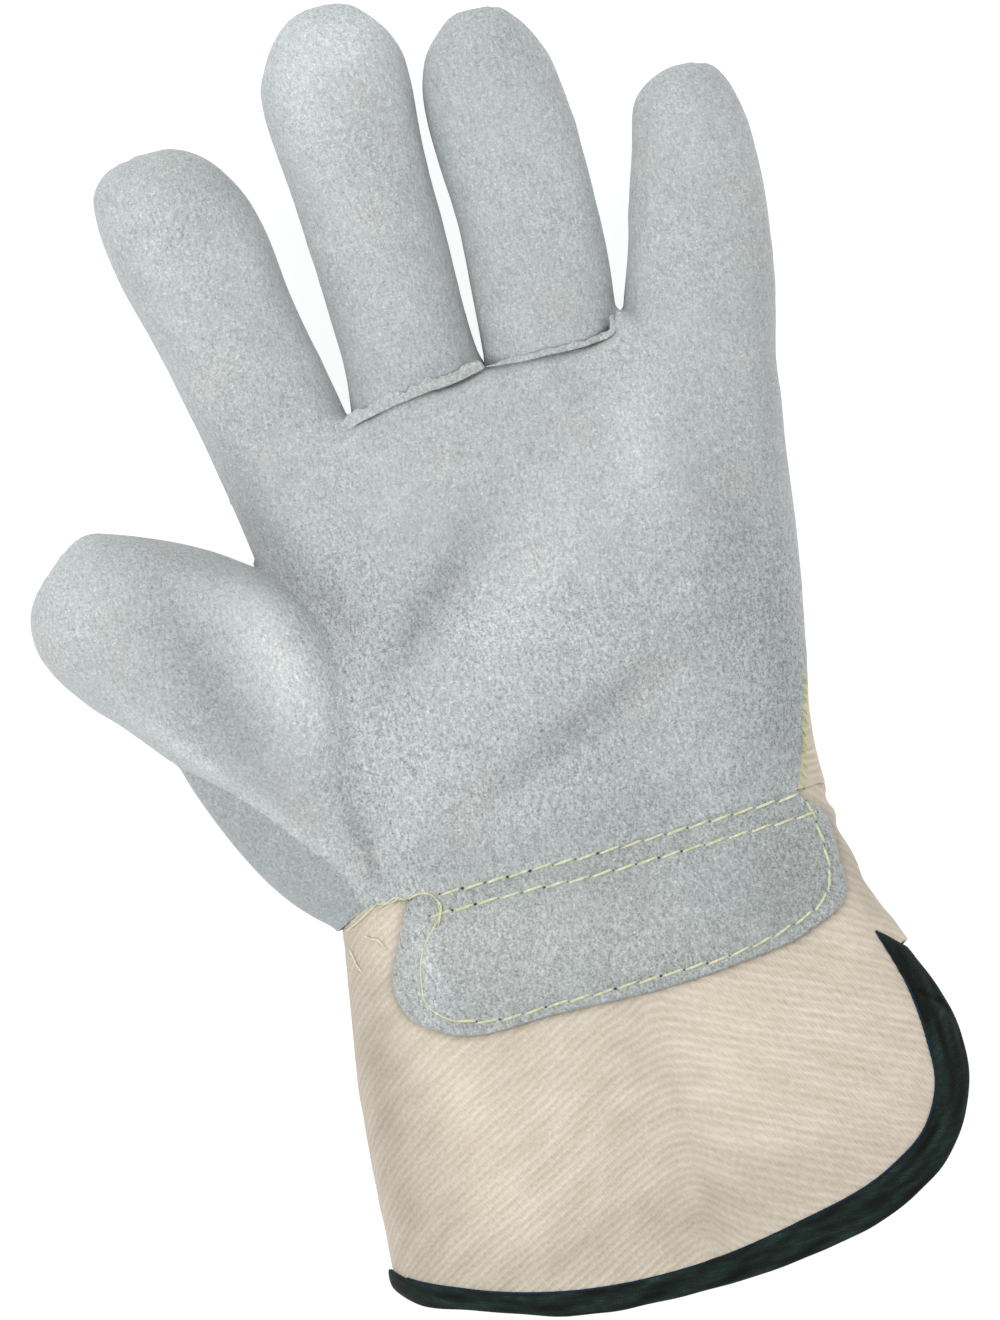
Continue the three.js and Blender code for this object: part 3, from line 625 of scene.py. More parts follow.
def digit_frame(digit: Digit, x: Array, y: Array) -> tuple[Array, Array]:
    """Places across and along a digit's own axis.

    Args:
        digit: the finger, thumb or gusset.
        x, y: places across the hand and along it.

    Returns:
        The way across the axis and the way along it.
    """
    turn = math.radians(digit.lean)
    dx, dy = x - digit.base[0] * HAND_WIDTH, y - digit.base[1] * HAND_LENGTH
    return dx * math.cos(turn) + dy * math.sin(turn), -dx * math.sin(turn) + dy * math.cos(turn)


def way_to_tip(share: Array) -> Array:
    """The way along a digit as one minus the root of what is left, so that a section which shrinks evenly
    in it closes the tip as a round dome."""
    return 1 - np.sqrt(np.clip(1 - share, 0, None))


def digit_table(digit: Digit, along: Array) -> tuple[Array, Array, Array, Array, Array]:
    """Centre, half width, heights over and under its seam, and rise of a digit's sections.

    Args:
        digit: the finger, thumb or gusset.
        along: places along its axis, in millimetres.

    Returns:
        The centre, half width, height, depth and rise at each place.
    """
    width = digit.width * HAND_WIDTH
    last = digit.rows[-1]
    closing = (last.left + last.right) / 2
    rows = [(row.left, row.right, row.crown, row.keel, row.rise) for row in digit.rows]
    rows.append((closing, closing, 0.0, 0.0, last.rise))
    shares = [row.along * LAST_ROW for row in digit.rows] + [1.0]
    stops = way_to_tip(np.array(shares))
    even = np.linspace(stops[0], 1.0, 300)
    values = np.array(rows) * (width, width, digit.depth, digit.depth, digit.depth)
    values = softened(smooth_table(stops, values, even), 12)
    way = way_to_tip(along / digit.length)
    left, right, up, down, rise = (np.interp(way, even, column) for column in values.T)
    half, up, down = (np.maximum(part, LEAST_RADIUS) for part in ((right - left) / 2, up, down))
    return (left + right) / 2, half, up, down, rise


def digit_field(digit: Digit, x: Array, y: Array, z: Array) -> Array:
    """Field of a digit's tube, closed at its root and its tip.

    Args:
        digit: the finger, thumb or gusset.
        x, y, z: places across the hand, along it and up from the surface.

    Returns:
        The field, negative inside.
    """
    across, along = digit_frame(digit, x, y)
    centre, half, up, down, rise = digit_table(digit, along)
    tube = tube_field(across - centre, z - seam_height(y) - rise, half, up, down, FINGER_SQUARENESS)
    root = digit.rows[0].along * digit.length
    return np.maximum(tube, np.maximum(root - along, along - digit.length))


def thumb_seam_height(x: Array, y: Array) -> Array:
    """Height of the thumb's own side seam, which rises along the thumb."""
    _, along = digit_frame(THUMB, x, y)
    return SEAM_HEIGHT + digit_table(THUMB, along)[4]


def to_frame(points: Array) -> Array:
    """Places in the hand's frame, in millimetres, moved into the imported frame, in metres.

    Args:
        points: places in the hand's frame, in millimetres, three columns.

    Returns:
        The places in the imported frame, in metres.
    """
    low = np.array(CAD_BOX[0])
    origin = np.array([low[0] / MM + THUMB_REACH, low[1] / MM + HEM_REACH, 0.0])
    return (points + origin) * MM


def new_mesh(name: str, points: Array, faces: list[Array]) -> Piece:
    """Makes an object of a smoothly shaded mesh from whole arrays.

    Args:
        name: the object's name.
        points: places in the hand's frame, in millimetres, three columns.
        faces: arrays of corner numbers, one array for each size of face.

    Returns:
        The object, linked to the scene, standing at the origin.
    """
    mesh = bpy.data.meshes.new(name)
    mesh.vertices.add(len(points))
    mesh.vertices.foreach_set("co", to_frame(points).astype(np.float32).ravel())
    sizes = np.concatenate([np.full(len(part), part.shape[1]) for part in faces])
    mesh.loops.add(int(sizes.sum()))
    corners = np.concatenate([part.ravel() for part in faces])
    mesh.loops.foreach_set("vertex_index", corners.astype(np.int32))
    mesh.polygons.add(len(sizes))
    starts = np.concatenate([[0], np.cumsum(sizes)[:-1]])
    mesh.polygons.foreach_set("loop_start", starts.astype(np.int32))
    mesh.polygons.foreach_set("use_smooth", np.ones(len(sizes), dtype=bool))
    mesh.update(calc_edges=True)
    mesh.validate()
    piece = bpy.data.objects.new(name, mesh)
    bpy.context.scene.collection.objects.link(piece)
    return piece


def grid_faces(rows: int, columns: int, wrap: bool) -> Array:
    """Corner numbers of the quads over a grid of points.

    Args:
        rows: how many rows of points there are.
        columns: how many points stand in a row.
        wrap: whether each row is joined up into a ring.

    Returns:
        The quads, four columns.
    """
    across = columns if wrap else columns - 1
    row, column = np.meshgrid(np.arange(rows - 1), np.arange(across), indexing="ij")
    here, beside = row * columns + column, row * columns + (column + 1) % columns
    return np.stack([here, beside, beside + columns, here + columns], axis=-1).reshape(-1, 4)


def capped_faces(rows: int, sides: int) -> tuple[Array, Array]:
    """Faces of a tube of rings whose ends are closed by two poles, the points after the last ring's.

    Args:
        rows: how many rings there are.
        sides: how many points each ring has.

    Returns:
        The quads along the tube and the triangles at its ends.
    """
    around = np.arange(sides)
    beside = (around + 1) % sides
    pole, end = rows * sides, (rows - 1) * sides
    fans = np.concatenate([
        np.stack([np.full(sides, pole), beside, around], axis=1),
        np.stack([np.full(sides, pole + 1), end + around, end + beside], axis=1)])
    return grid_faces(rows, sides, True), fans


def grid_values(table: Array, row: Array, column: Array) -> Array:
    """Values of a table at places between its cells, by the four that stand round each.

    Args:
        table: the values, rows by columns.
        row: places counted in rows.
        column: places counted in columns.

    Returns:
        The value at each place, the table's edge serving beyond it.
    """
    row = np.clip(row, 0, table.shape[0] - 1.001)
    column = np.clip(column, 0, table.shape[1] - 1.001)
    i, j = row.astype(int), column.astype(int)
    u, v = row - i, column - j
    low = table[i, j] * (1 - u) + table[i + 1, j] * u
    high = table[i, j + 1] * (1 - u) + table[i + 1, j + 1] * u
    return low * (1 - v) + high * v


def marks_at(marks: tuple[Mark, ...], x: Array, y: Array, heights: bool) -> Array:
    """Sum of the marks' heights, or of their shades.

    Args:
        marks: the folds and brushed places.
        x, y: places across the hand and along it.
        heights: whether to sum the heights and not the shades.

    Returns:
        The sum at each place.
    """
    total = np.zeros(np.broadcast(x, y).shape)
    for mark in marks:
        spread = turned_bell(x - mark.x, y - mark.y, mark.turn, mark.long, mark.wide)
        total = total + (mark.rise if heights else mark.shade) * spread
    return total


def coarseness(x: Array, y: Array) -> Array:
    """How much rougher the nap is over the palm's heel and outer side than on the fingers.

    Args:
        x, y: places across the hand and along it.

    Returns:
        The added share of contrast at each place.
    """
    heel = 1 - ramp(y + 0.1 * x, 45, 78)
    side = bell(x - 50, 12) * (1 - ramp(y, 50, 90)) + bell(x + 42, 9) * (1 - ramp(y, 75, 100))
    return 0.45 * heel * ramp(x, -56, -44) + 0.25 * side + 0.12 * soft_noise(x, y, 26, 61)


TRUNK = Trunk()
WRIST_LINE = smooth_line(on_hand(WRIST_SEAM), 160)
VALLEY_LINE = smooth_line(on_hand(THUMB_VALLEY), 60)
FOLD_LINE = smooth_line(on_hand(THUMB_FOLD), 60)
MIDDLE_BASE_LINE = smooth_line(on_hand(MIDDLE_BASE), 60)
RING_BASE_LINE = smooth_line(on_hand(RING_BASE), 60)
MIDDLE_STRIP_LINE = smooth_line(on_hand(((-0.27, 0.9265),) + MIDDLE_BASE), 60)
RING_STRIP_LINE = smooth_line(on_hand(RING_BASE + ((0.25, 1.055),)), 60)
OUTER_LINE = smooth_line(on_hand(PALM_OUTER_SEAM), 40)
HEM_LINE = smooth_line(on_cuff(HEM), 220)
BINDING_LINE = smooth_line(on_cuff(BINDING_EDGE), 220)
TAPE_END = np.array([(62.9, -37.0), (61.9, -35.1), (60.6, -34.0)])
TAPE_FOLD_LINE = smooth_line(np.array([(62.0, -44.5), (66.4, -48.2), (68.4, -52.5), (68.6, -58.0)]), 24)
PATCH_LINE = smooth_line(on_cuff(PATCH), 400, closed=True)
REACH = 260.0


def wrist_seam(x: Array) -> Array:
    """Place along the hand of the wrist seam at each place across it."""
    return np.interp(x, WRIST_LINE[:, 0], WRIST_LINE[:, 1])


@dataclass(frozen=True)
class Volume:
    """A box of space cut into equal cells, over which a field is worked out, in the hand's frame."""

    low: tuple[float, float, float]
    high: tuple[float, float, float]
    cell: float

    def axes(self) -> tuple[Array, Array, Array]:
        """The cells' places along each side, shaped to combine into a whole array."""
        x, y, z = (np.arange(low, high, self.cell) for low, high in zip(self.low, self.high))
        return x[:, None, None], y[None, :, None], z[None, None, :]

    def surface(self, field: Array) -> tuple[Array, Array]:
        """The surface where a field passes nought, as points and outward quads.

        Args:
            field: the field's value at each cell, negative inside.

        Returns:
            The points, in millimetres, and the quads, facing outwards.
        """
        grid = vdb.FloatGrid(REACH)
        grid.copyFromArray(field.astype(np.float32))
        points, triangles, quads = grid.convertToPolygons(isovalue=0.0, adaptivity=0.0)
        points = points * self.cell + self.low
        corners = points[quads]
        normal = np.cross(corners[:, 2] - corners[:, 0], corners[:, 3] - corners[:, 1])
        flow = (normal * (corners.mean(axis=1) - points.mean(axis=0))).sum()
        return points, quads if flow > 0 else quads[:, ::-1]

    def heights(self, field: Array) -> Array:
        """Height of the field's uppermost surface over each place in plan, found between the two cells where
        it passes nought.

        Args:
            field: the field's value at each cell, negative inside.

        Returns:
            The height over each cell in plan.
        """
        inner = field < 0
        top = field.shape[2] - 1 - np.argmax(inner[:, :, ::-1], axis=2)
        top = np.where(inner.any(axis=2), np.minimum(top, field.shape[2] - 2), 0)
        below = np.take_along_axis(field, top[:, :, None], 2)[..., 0]
        above = np.take_along_axis(field, top[:, :, None] + 1, 2)[..., 0]
        share = np.clip(below / np.where(below == above, 1, below - above), 0, 1)
        return self.low[2] + (top + share) * self.cell

    def read(self, heights: Array, x: Array, y: Array) -> Array:
        """Heights at places in plan, read from those over the cells."""
        return grid_values(heights, (x - self.low[0]) / self.cell, (y - self.low[1]) / self.cell)


def trunk_field(x: Array, y: Array, z: Array) -> Array:
    """Field of the cuff and palm's tube, with the palm's relief on its upper side.

    Args:
        x, y, z: places across the hand, along it and up from the surface.

    Returns:
        The field, negative inside.
    """
    centre, half, up, down = TRUNK.section(y)
    height = z - SEAM_HEIGHT
    height = height - relief_at(x, y) * ramp(height, 0, 12)
    return tube_field(x - centre, height, half, up, down, TRUNK_SQUARENESS)


def way_from(plan: Array, line: Array) -> Array:
    """Distance in plan from a polyline to each place."""
    return nearest_on(plan, line)[0]


def finger_bases(plan: Array) -> Array:
    """Distance in plan from the base seams of the two middle fingers."""
    return np.minimum(way_from(plan, MIDDLE_BASE_LINE), way_from(plan, RING_BASE_LINE))


def patch_rise(x: Array, y: Array) -> Array:
    """How much the palm rises near the wrist seam to meet the top of the patch."""
    span = ramp(x, -44, -38) * (1 - ramp(x, 45, 51))
    return (PATCH_THICKNESS + 0.15) * span * (1 - ramp(y - wrist_seam(x), 0.5, 16))


def hand_field(x: Array, y: Array, z: Array) -> Array:
    """Field of the hand's outer form: each tube's field, joined by rounded unions, with soft waves of the
    leather, grooves along the seams, and the floor that flattens its underside.

    Args:
        x, y, z: places across the hand, along it and up from the surface.

    Returns:
        The field, negative inside.
    """
    plan = np.stack(np.broadcast_arrays(x, y), axis=-1)
    web = np.interp(x, *np.array(PALM_WEB).T)
    palm = smooth_greatest(trunk_field(x, y, z - patch_rise(x, y)), y - web, WEB_BLEND)
    flow = FINGER_BLEND + OUTER_FINGER_FLOW * ramp(z, SEAM_HEIGHT + 1, SEAM_HEIGHT + 12)
    joined = smooth_least(palm, digit_field(FINGERS["index"], x, y, z), flow)
    for name, blend in (("little", flow), ("middle", FINGER_BLEND), ("ring", FINGER_BLEND)):
        other = smooth_least(palm, digit_field(FINGERS[name], x, y, z), blend)
        joined = smooth_least(joined, other, FORK_BLEND)
    joined = smooth_least(joined, digit_field(GUSSET, x, y, z), GUSSET_BLEND)
    gentle = ramp(x, -57, -49) * ramp(y, 8, 20) * (1 - ramp(y, 44, 58))
    joined = smooth_least(joined, digit_field(THUMB, x, y, z), THUMB_BLEND + THUMB_FLOW * gentle)
    upper = ramp(z, SEAM_HEIGHT - 2, SEAM_HEIGHT + 6)
    base, valley, fold = finger_bases(plan), way_from(plan, VALLEY_LINE), way_from(plan, FOLD_LINE)
    crack = 0.9 + 0.9 * bell(x + 6, 7) + 0.7 * ramp(x, 8, 18)
    groove = crack * bell(base, CRACK_WIDTH) + 0.75 * bell(valley, VALLEY_WIDTH)
    groove = groove + 0.6 * bell(fold, FOLD_WIDTH)
    seam = 0.5 * bell(z - seam_height(y), 0.9) * ramp(np.hypot(x + 80, y - 50), 50, 60)
    waves = 0.2 * soft_noise(x, y, 34, 11) + 0.1 * soft_noise(x, y, 9, 12)
    folds = waves + marks_at(LEATHER_MARKS, x, y, True)
    joined = joined + (groove - folds) * upper + seam
    return smooth_greatest(joined, floor_height(y) - z, HAND_FLOOR_BLEND)


def cuff_wrinkles(x: Array, y: Array) -> Array:
    """Height of the canvas's soft folds: long waves over the cuff, and small puckers by the wrist.

    Args:
        x, y: places across the hand and along it.

    Returns:
        The height of the folds at each place.
    """
    long = 0.4 * soft_noise(x, y * 0.55, 34, 21)
    short = 0.15 * soft_noise(x, y, 11, 22)
    near = bell(y - wrist_seam(x), 12)
    left = 0.45 * bell(x + 50, 8) * near * soft_noise(x + y, 2.2 * (y - x), 9, 23)
    left = left + 0.16 * bell(x + 47, 9) * near * soft_noise(x + y, 1.8 * (y - x), 3.6, 24)
    way = y + 0.3 * x + 2.5 * np.sin(y / 5)
    right = 0.55 * ramp(x, 49, 54) * ramp(y, -24, -16) * np.sin(way * 2 * math.pi / 8.5)
    return long + short + left + right + marks_at(CANVAS_MARKS, x, y, True)


def off_the_rim(x: Array, y: Array) -> Array:
    """One over the cuff's upper side, less than half at its left outline, which lies smooth."""
    centre, half, _, _ = TRUNK.section(y)
    return 1 - 0.6 * ramp((centre - x) / half, 0.86, 1.0)


def cuff_field(x: Array, y: Array, z: Array) -> Array:
    """Field of the cuff's outer form: its tube, its folds and the floor.

    Args:
        x, y, z: places across the hand, along it and up from the surface.

    Returns:
        The field at each place, negative inside.
    """
    tube = trunk_field(x, y, z) - cuff_wrinkles(x, y) * off_the_rim(x, y) * ramp(z, 2, 14)
    return smooth_greatest(tube, floor_height(y) - z, CUFF_FLOOR_BLEND)


# Finishes


def operator(operation: str, swapped: bool = False) -> Callable[["Number", object], "Number"]:
    """A method of Number for an operator of plain arithmetic.

    Args:
        operation: what its Math node does.
        swapped: whether the other number comes first.

    Returns:
        The method.
    """
    def method(number: "Number", other: object) -> "Number":
        """The node's result for the two numbers."""
        return number.apply(operation, *((other, number) if swapped else (number, other)))
    return method


@dataclass(frozen=True)
class Number:
    """A number that a shader tree works out at each place. Plain arithmetic on it adds Math nodes."""

    tree: Tree
    socket: Socket

    def apply(self, operation: str, first: object, second: object = 0.0) -> "Number":
        """The result of a Math node for two numbers, plain or worked out."""
        made = add_node(self.tree, "Math", {"operation": operation})
        for socket, value in zip(made.inputs, (first, second)):
            feed(self.tree, socket, value)
        return Number(self.tree, made.outputs[0])

    __add__, __radd__ = operator("ADD"), operator("ADD", True)
    __sub__, __rsub__ = operator("SUBTRACT"), operator("SUBTRACT", True)
    __truediv__, __rtruediv__ = operator("DIVIDE"), operator("DIVIDE", True)
    __mul__ = operator("MULTIPLY")

    def cosine(self) -> "Number":
        """The cosine of this number, in radians."""
        return self.apply("COSINE", self)

    def held(self) -> "Number":
        """This number kept between nought and one by the node that gives it."""
        self.socket.node.use_clamp = True
        return self


def feed(tree: Tree, socket: Socket, value: object) -> None:
    """Links a worked out number or another socket to an input, or sets the input to a plain value.

    Args:
        tree: the tree that holds them.
        socket: the input.
        value: a Number, a socket, or a plain number or colour.
    """
    if isinstance(value, Number):
        value = value.socket
    if isinstance(value, Socket):
        tree.links.new(value, socket)
    else:
        socket.default_value = value


def feed_inputs(tree: Tree, node: bpy.types.Node, **values: object) -> None:
    """Feeds a node's inputs by their names, written with underscores for spaces."""
    for key, value in values.items():
        feed(tree, node.inputs[key.replace("_", " ")], value)


def add_node(tree: Tree, kind: str, options: dict[str, object] | None = None,
             **values: object) -> bpy.types.Node:
    """Adds a node.

    Args:
        tree: the tree that gets it.
        kind: its type without the words that all types share.
        options: its own settings by name.
        values: its inputs by name, plain values or sockets.

    Returns:
        The node.
    """
    made = tree.nodes.new("ShaderNode" + kind)
    for key, value in (options or {}).items():
        setattr(made, key, value)
    feed_inputs(tree, made, **values)
    return made


def group_tree(name: str, inputs: dict[str, float | tuple]) -> tuple:
    """Starts a node group with named sockets, its results being Colour, Height and Roughness.

    Args:
        name: the group's name.
        inputs: socket names with their default numbers or colours, a vector being of length three.

    Returns:
        The tree, its inputs' sockets by name, and its output node.
    """
    tree = bpy.data.node_groups.new(name, "ShaderNodeTree")
    for key, value in inputs.items():
        kind = "NodeSocketFloat"
        if isinstance(value, tuple):
            kind = "NodeSocketColor" if len(value) == 4 else "NodeSocketVector"
        tree.interface.new_socket(key, in_out="INPUT", socket_type=kind).default_value = value
    for key, kind in (("Colour", "Color"), ("Height", "Float"), ("Roughness", "Float")):
        tree.interface.new_socket(key, in_out="OUTPUT", socket_type="NodeSocket" + kind)
    entry = tree.nodes.new("NodeGroupInput")
    entry.location = (-400, 0)
    leave = tree.nodes.new("NodeGroupOutput")
    leave.location = (2400, 0)
    return tree, entry.outputs, leave


def blend_colours(tree: Tree, share: object, first: object, second: object, blend: str = "MIX") -> Socket:
    """A Mix node of two colours.

    Args:
        tree: the tree that gets the node.
        share: how much of the second colour shows.
        first: a colour, plain or worked out.
        second: the other colour.
        blend: how the two are mixed.

    Returns:
        The mixed colour's socket.
    """
    made = add_node(tree, "Mix", {"data_type": "RGBA", "blend_type": blend})
    for index, value in ((0, share), (6, first), (7, second)):
        feed(tree, made.inputs[index], value)
    return made.outputs[2]


def noise_at(tree: Tree, vector: Socket, size: object, detail: float = 2.0,
             stretch: tuple[float, float, float] | None = None, turn: float = 0.0,
             curl: float = 0.0) -> Number:
    """Noise of a given size, about one half on the whole.

    Args:
        tree: the tree that gets the nodes.
        vector: the places to read the noise at.
        size: length of its waves, plain or worked out.
        detail: how many finer layers it has.
        stretch: scale along each axis, if it is drawn out.
        turn: radians that the drawn out noise is turned.
        curl: how much it is distorted.

    Returns:
        The noise.
    """
    if stretch is not None:
        vector = add_node(tree, "Mapping", Vector=vector, Scale=stretch, Rotation=(0, 0, turn)).outputs[0]
    made = add_node(tree, "TexNoise", Vector=vector, Scale=1.0 / size, Detail=detail, Distortion=curl)
    return Number(tree, made.outputs["Fac"])


def scaled_colour(tree: Tree, colour: Socket, share: Number) -> Socket:
    """A colour made lighter or darker, multiplied by a share."""
    return add_node(tree, "VectorMath", {"operation": "SCALE"}, Vector=colour, Scale=share).outputs[0]


@cache
def suede_group() -> Tree:
    """Nap of split leather: fine light and dark speckle with painted glints, short brushed streaks and
    larger mottling, with painted shade along the creases and painted light and shade of the folds.

    Returns:
        A group of Vector, three colours, Grain, Contrast, Crease, Shading and Coarse to Colour, Height and
        Roughness. Crease mixes in painted shade; Shading scales the colour by painted light and shade.
    """
    tree, given, leave = group_tree("suede_nap", {
        "Vector": (0.0, 0.0, 0.0), "Colour": (0.5, 0.55, 0.57, 1.0), "Light": (0.7, 0.74, 0.75, 1.0),
        "Dark": (0.28, 0.32, 0.33, 1.0), "Grain": 0.0006, "Contrast": 1.0, "Crease": 0.0, "Nap": 0.0,
        "Coarse": 0.0,
    })
    vector = given["Vector"]
    grain, contrast, creased, nap, coarse = (
        Number(tree, given[key]) for key in ("Grain", "Contrast", "Crease", "Nap", "Coarse"))
    speckle = noise_at(tree, vector, grain, 1.5, curl=1.1)
    pits = noise_at(tree, vector, grain * 1.9, 1.0)
    streak = noise_at(tree, vector, grain * 1.6, 1.0, (1.0, 0.5, 1.0), 0.9)
    mottle = noise_at(tree, vector, grain * 11.0, 3.0)
    cloud = noise_at(tree, vector, grain * 60.0)
    hue = noise_at(tree, vector, grain * 34.0)
    fine = speckle - 0.5 + (streak - 0.5) * 0.55
    broad = (mottle - 0.5) * 0.3 + (cloud - 0.5) * 0.35
    deep = (0.34 - pits).held() * 1.4
    sharp = (1.0 + coarse) * 1.6
    total = (fine * sharp + broad - deep) * contrast
    glints = (speckle - 0.6).held() * 3.0 * contrast
    lighter = (total * 1.5 + glints).held()
    darker = (total * -1.3).held()
    colour = blend_colours(tree, lighter, given["Colour"], given["Light"])
    colour = blend_colours(tree, darker, colour, given["Dark"])
    # Painted shade along the creases
    colour = blend_colours(tree, (creased * 0.75).held(), colour, given["Dark"])
    warmth = ((hue - 0.5) * 2.4 + 0.5).held()
    tint = blend_colours(tree, warmth, (1.018, 1.0, 0.985, 1.0), (0.982, 1.0, 1.012, 1.0))
    colour = blend_colours(tree, 1.0, colour, tint, "MULTIPLY")
    # Painted light and shade of the folds, by the mesh's Shading
    colour = scaled_colour(tree, colour, 1.0 + nap)
    feed_inputs(tree, leave, Colour=colour, Height=speckle * 0.6 + streak * 0.6,
                Roughness=0.86 + speckle * 0.14)
    return tree


@cache
def twill_group() -> Tree:
    """Drill weave on flat coordinates whose second number counts across the ribs: each rib is a row of short
    raised floats, set half a float on from the row beside it, with uneven yarn and soft clouds.

    Returns:
        A group of Vector, three colours, Pitch, Float, Unevenness and Shading to Colour, Height and
        Roughness;
        Shading lightens or darkens the colour, partly as painted light and shade.
    """
    tree, given, leave = group_tree("twill_weave", {
        "Vector": (0.0, 0.0, 0.0), "Colour": (0.68, 0.58, 0.48, 1.0), "Light": (0.86, 0.78, 0.68, 1.0),
        "Dark": (0.5, 0.4, 0.31, 1.0), "Pitch": 0.0015, "Float": 0.0019, "Unevenness": 1.0, "Nap": 0.0,
    })
    vector = given["Vector"]
    pitch, long, unevenness, nap = (
        Number(tree, given[key]) for key in ("Pitch", "Float", "Unevenness", "Nap"))
    split = add_node(tree, "SeparateXYZ", Vector=vector)
    along, across = (Number(tree, split.outputs[index]) for index in (0, 1))
    sway = (noise_at(tree, vector, 0.011) - 0.5) * 0.0011
    row = (across + sway) / pitch * (2 * math.pi)
    place = along / long * (2 * math.pi)
    rib = row.cosine() * 0.5 + 0.5
    floats = (place + row * 0.5).cosine() * (place - row * 0.5).cosine() * 0.5 + 0.5
    height = rib * 0.45 + floats * 0.55
    fuzz = noise_at(tree, vector, pitch * 0.45)
    slub = noise_at(tree, vector, pitch * 2.2, 2.0, (0.35, 1.0, 1.0))
    cloud = noise_at(tree, vector, pitch * 9.0, 3.0)
    uneven = ((fuzz - 0.5) * 1.5 + (slub - 0.5) * 1.1) * unevenness
    worn = 0.15 + cloud * 0.7
    tone = (height - 0.5) * worn + uneven + (cloud - 0.5) * 0.6
    colour = blend_colours(tree, (tone * 1.0).held(), given["Colour"], given["Light"])
    colour = blend_colours(tree, (tone * -1.0).held(), colour, given["Dark"])
    # Painted light and shade, with the cloth's lighter and darker places, by the mesh's Shading
    colour = scaled_colour(tree, colour, 1.0 + nap)
    feed_inputs(tree, leave, Colour=colour, Height=height + fuzz * 0.5, Roughness=0.8 + slub * 0.15)
    return tree


def attribute(tree: Tree, name: str) -> Socket:
    """The number that a mesh keeps at each point under a name."""
    return add_node(tree, "Attribute", {"attribute_name": name}).outputs["Fac"]


def shade(tree: Tree, group: bpy.types.Node, bump: float, sheen: float) -> None:
    """Feeds a group's colour, height and roughness into the material's own shader.

    Args:
        tree: the material's tree.
        group: the placed group.
        bump: depth of the relief, in metres.
        sheen: weight of the soft light at grazing angles.
    """
    relief = add_node(tree, "Bump", Distance=bump, Height=group.outputs["Height"])
    shader = add_node(
        tree, "BsdfPrincipled", Base_Color=group.outputs["Colour"], Roughness=group.outputs["Roughness"],
        Normal=relief.outputs["Normal"], Sheen_Weight=sheen, Sheen_Roughness=0.55, Specular_IOR_Level=0.22)
    add_node(tree, "OutputMaterial", Surface=shader.outputs[0])


def empty_material(name: str) -> tuple[bpy.types.Material, Tree]:
    """A material with an empty node tree.

    Args:
        name: the material's name.

    Returns:
        The material and its tree.
    """
    material = bpy.data.materials.new(name)
    material.use_nodes = True
    material.node_tree.nodes.clear()
    return material, material.node_tree


@dataclass(frozen=True)
class Suede:
    """Split leather: its colours, its grain's size in metres, its contrast and the depth of its nap."""

    name: str
    colour: Colour
    light: Colour
    dark: Colour
    grain: float = 0.00043
    contrast: float = 1.0
    bump: float = 0.00035
    sheen: float = 0.25

    def material(self) -> bpy.types.Material:
        """Builds the material, which reads Object coordinates and the mesh's crease, shading and coarseness:
        painted shade in the creases, painted light and shade of the folds.
        """
        material, tree = empty_material(self.name)
        place = add_node(tree, "TexCoord").outputs["Object"]
        marked = {key: attribute(tree, key.lower()) for key in ("Crease", "Nap", "Coarse")}
        shade(tree, add_node(
            tree, "Group", {"node_tree": suede_group()}, Vector=place, Colour=self.colour, Light=self.light,
            Dark=self.dark, Grain=self.grain, Contrast=self.contrast, **marked), self.bump, self.sheen)
        return material


@dataclass(frozen=True)
class Weave:
    """Woven cloth: its colours, its ribs' pitch and floats in metres, its unevenness and its relief."""

    name: str
    colour: Colour
    light: Colour
    dark: Colour
    pitch: float = 0.00172
    floats: float = 0.00135
    uneven: float = 1.0
    bump: float = 0.0002
    sheen: float = 0.1

    def material(self) -> bpy.types.Material:
        """Builds the material, which reads the piece's own flat coordinates, in metres, and its shading,
        partly painted light and shade.
        """
        material, tree = empty_material(self.name)
        cloth = add_node(tree, "UVMap", {"uv_map": "cloth"}).outputs[0]
        shade(tree, add_node(
            tree, "Group", {"node_tree": twill_group()}, Vector=cloth, Colour=self.colour, Light=self.light,
            Dark=self.dark, Pitch=self.pitch, Float=self.floats, Unevenness=self.uneven,
            Nap=attribute(tree, "nap")), self.bump, self.sheen)
        return material


LEATHER = Suede("suede_leather", (0.402, 0.43, 0.434, 1), (0.585, 0.62, 0.625, 1),
                (0.195, 0.213, 0.216, 1))
# The leather again, darker: painted shade for the gusset that lies under the thumb
SHADED_GUSSET_LEATHER = Suede("suede_gusset_in_shade", (0.315, 0.346, 0.35, 1), (0.465, 0.5, 0.5, 1), (0.16, 0.18, 0.185, 1))
PATCH_LEATHER = Suede("suede_patch", (0.345, 0.367, 0.363, 1), (0.52, 0.55, 0.545, 1),
                      (0.17, 0.185, 0.182, 1))
EDGE_LEATHER = Suede("leather_edge", (0.41, 0.435, 0.43, 1), (0.58, 0.61, 0.605, 1), (0.2, 0.22, 0.215, 1),
                     grain=0.0005, contrast=1.2)
CANVAS = Weave("canvas_drill", (0.555, 0.492, 0.402, 1), (0.72, 0.66, 0.57, 1), (0.4, 0.325, 0.25, 1))
TAPE = Weave("binding_tape", (0.0052, 0.0115, 0.0092, 1), (0.015, 0.034, 0.027, 1),
             (0.002, 0.004, 0.0035, 1), pitch=0.0005, floats=0.0006, uneven=2.0, bump=0.00012, sheen=0.01)
SELVEDGE = Weave("binding_selvedge", (0.004, 0.014, 0.03, 1), (0.008, 0.03, 0.06, 1),
                 (0.002, 0.006, 0.012, 1), pitch=0.0007, floats=0.0009, bump=0.0001, sheen=0.0)
THREAD = Suede("pale_thread", (0.57, 0.585, 0.38, 1), (0.76, 0.76, 0.59, 1), (0.33, 0.36, 0.17, 1),
               grain=0.0007, bump=0.0001)
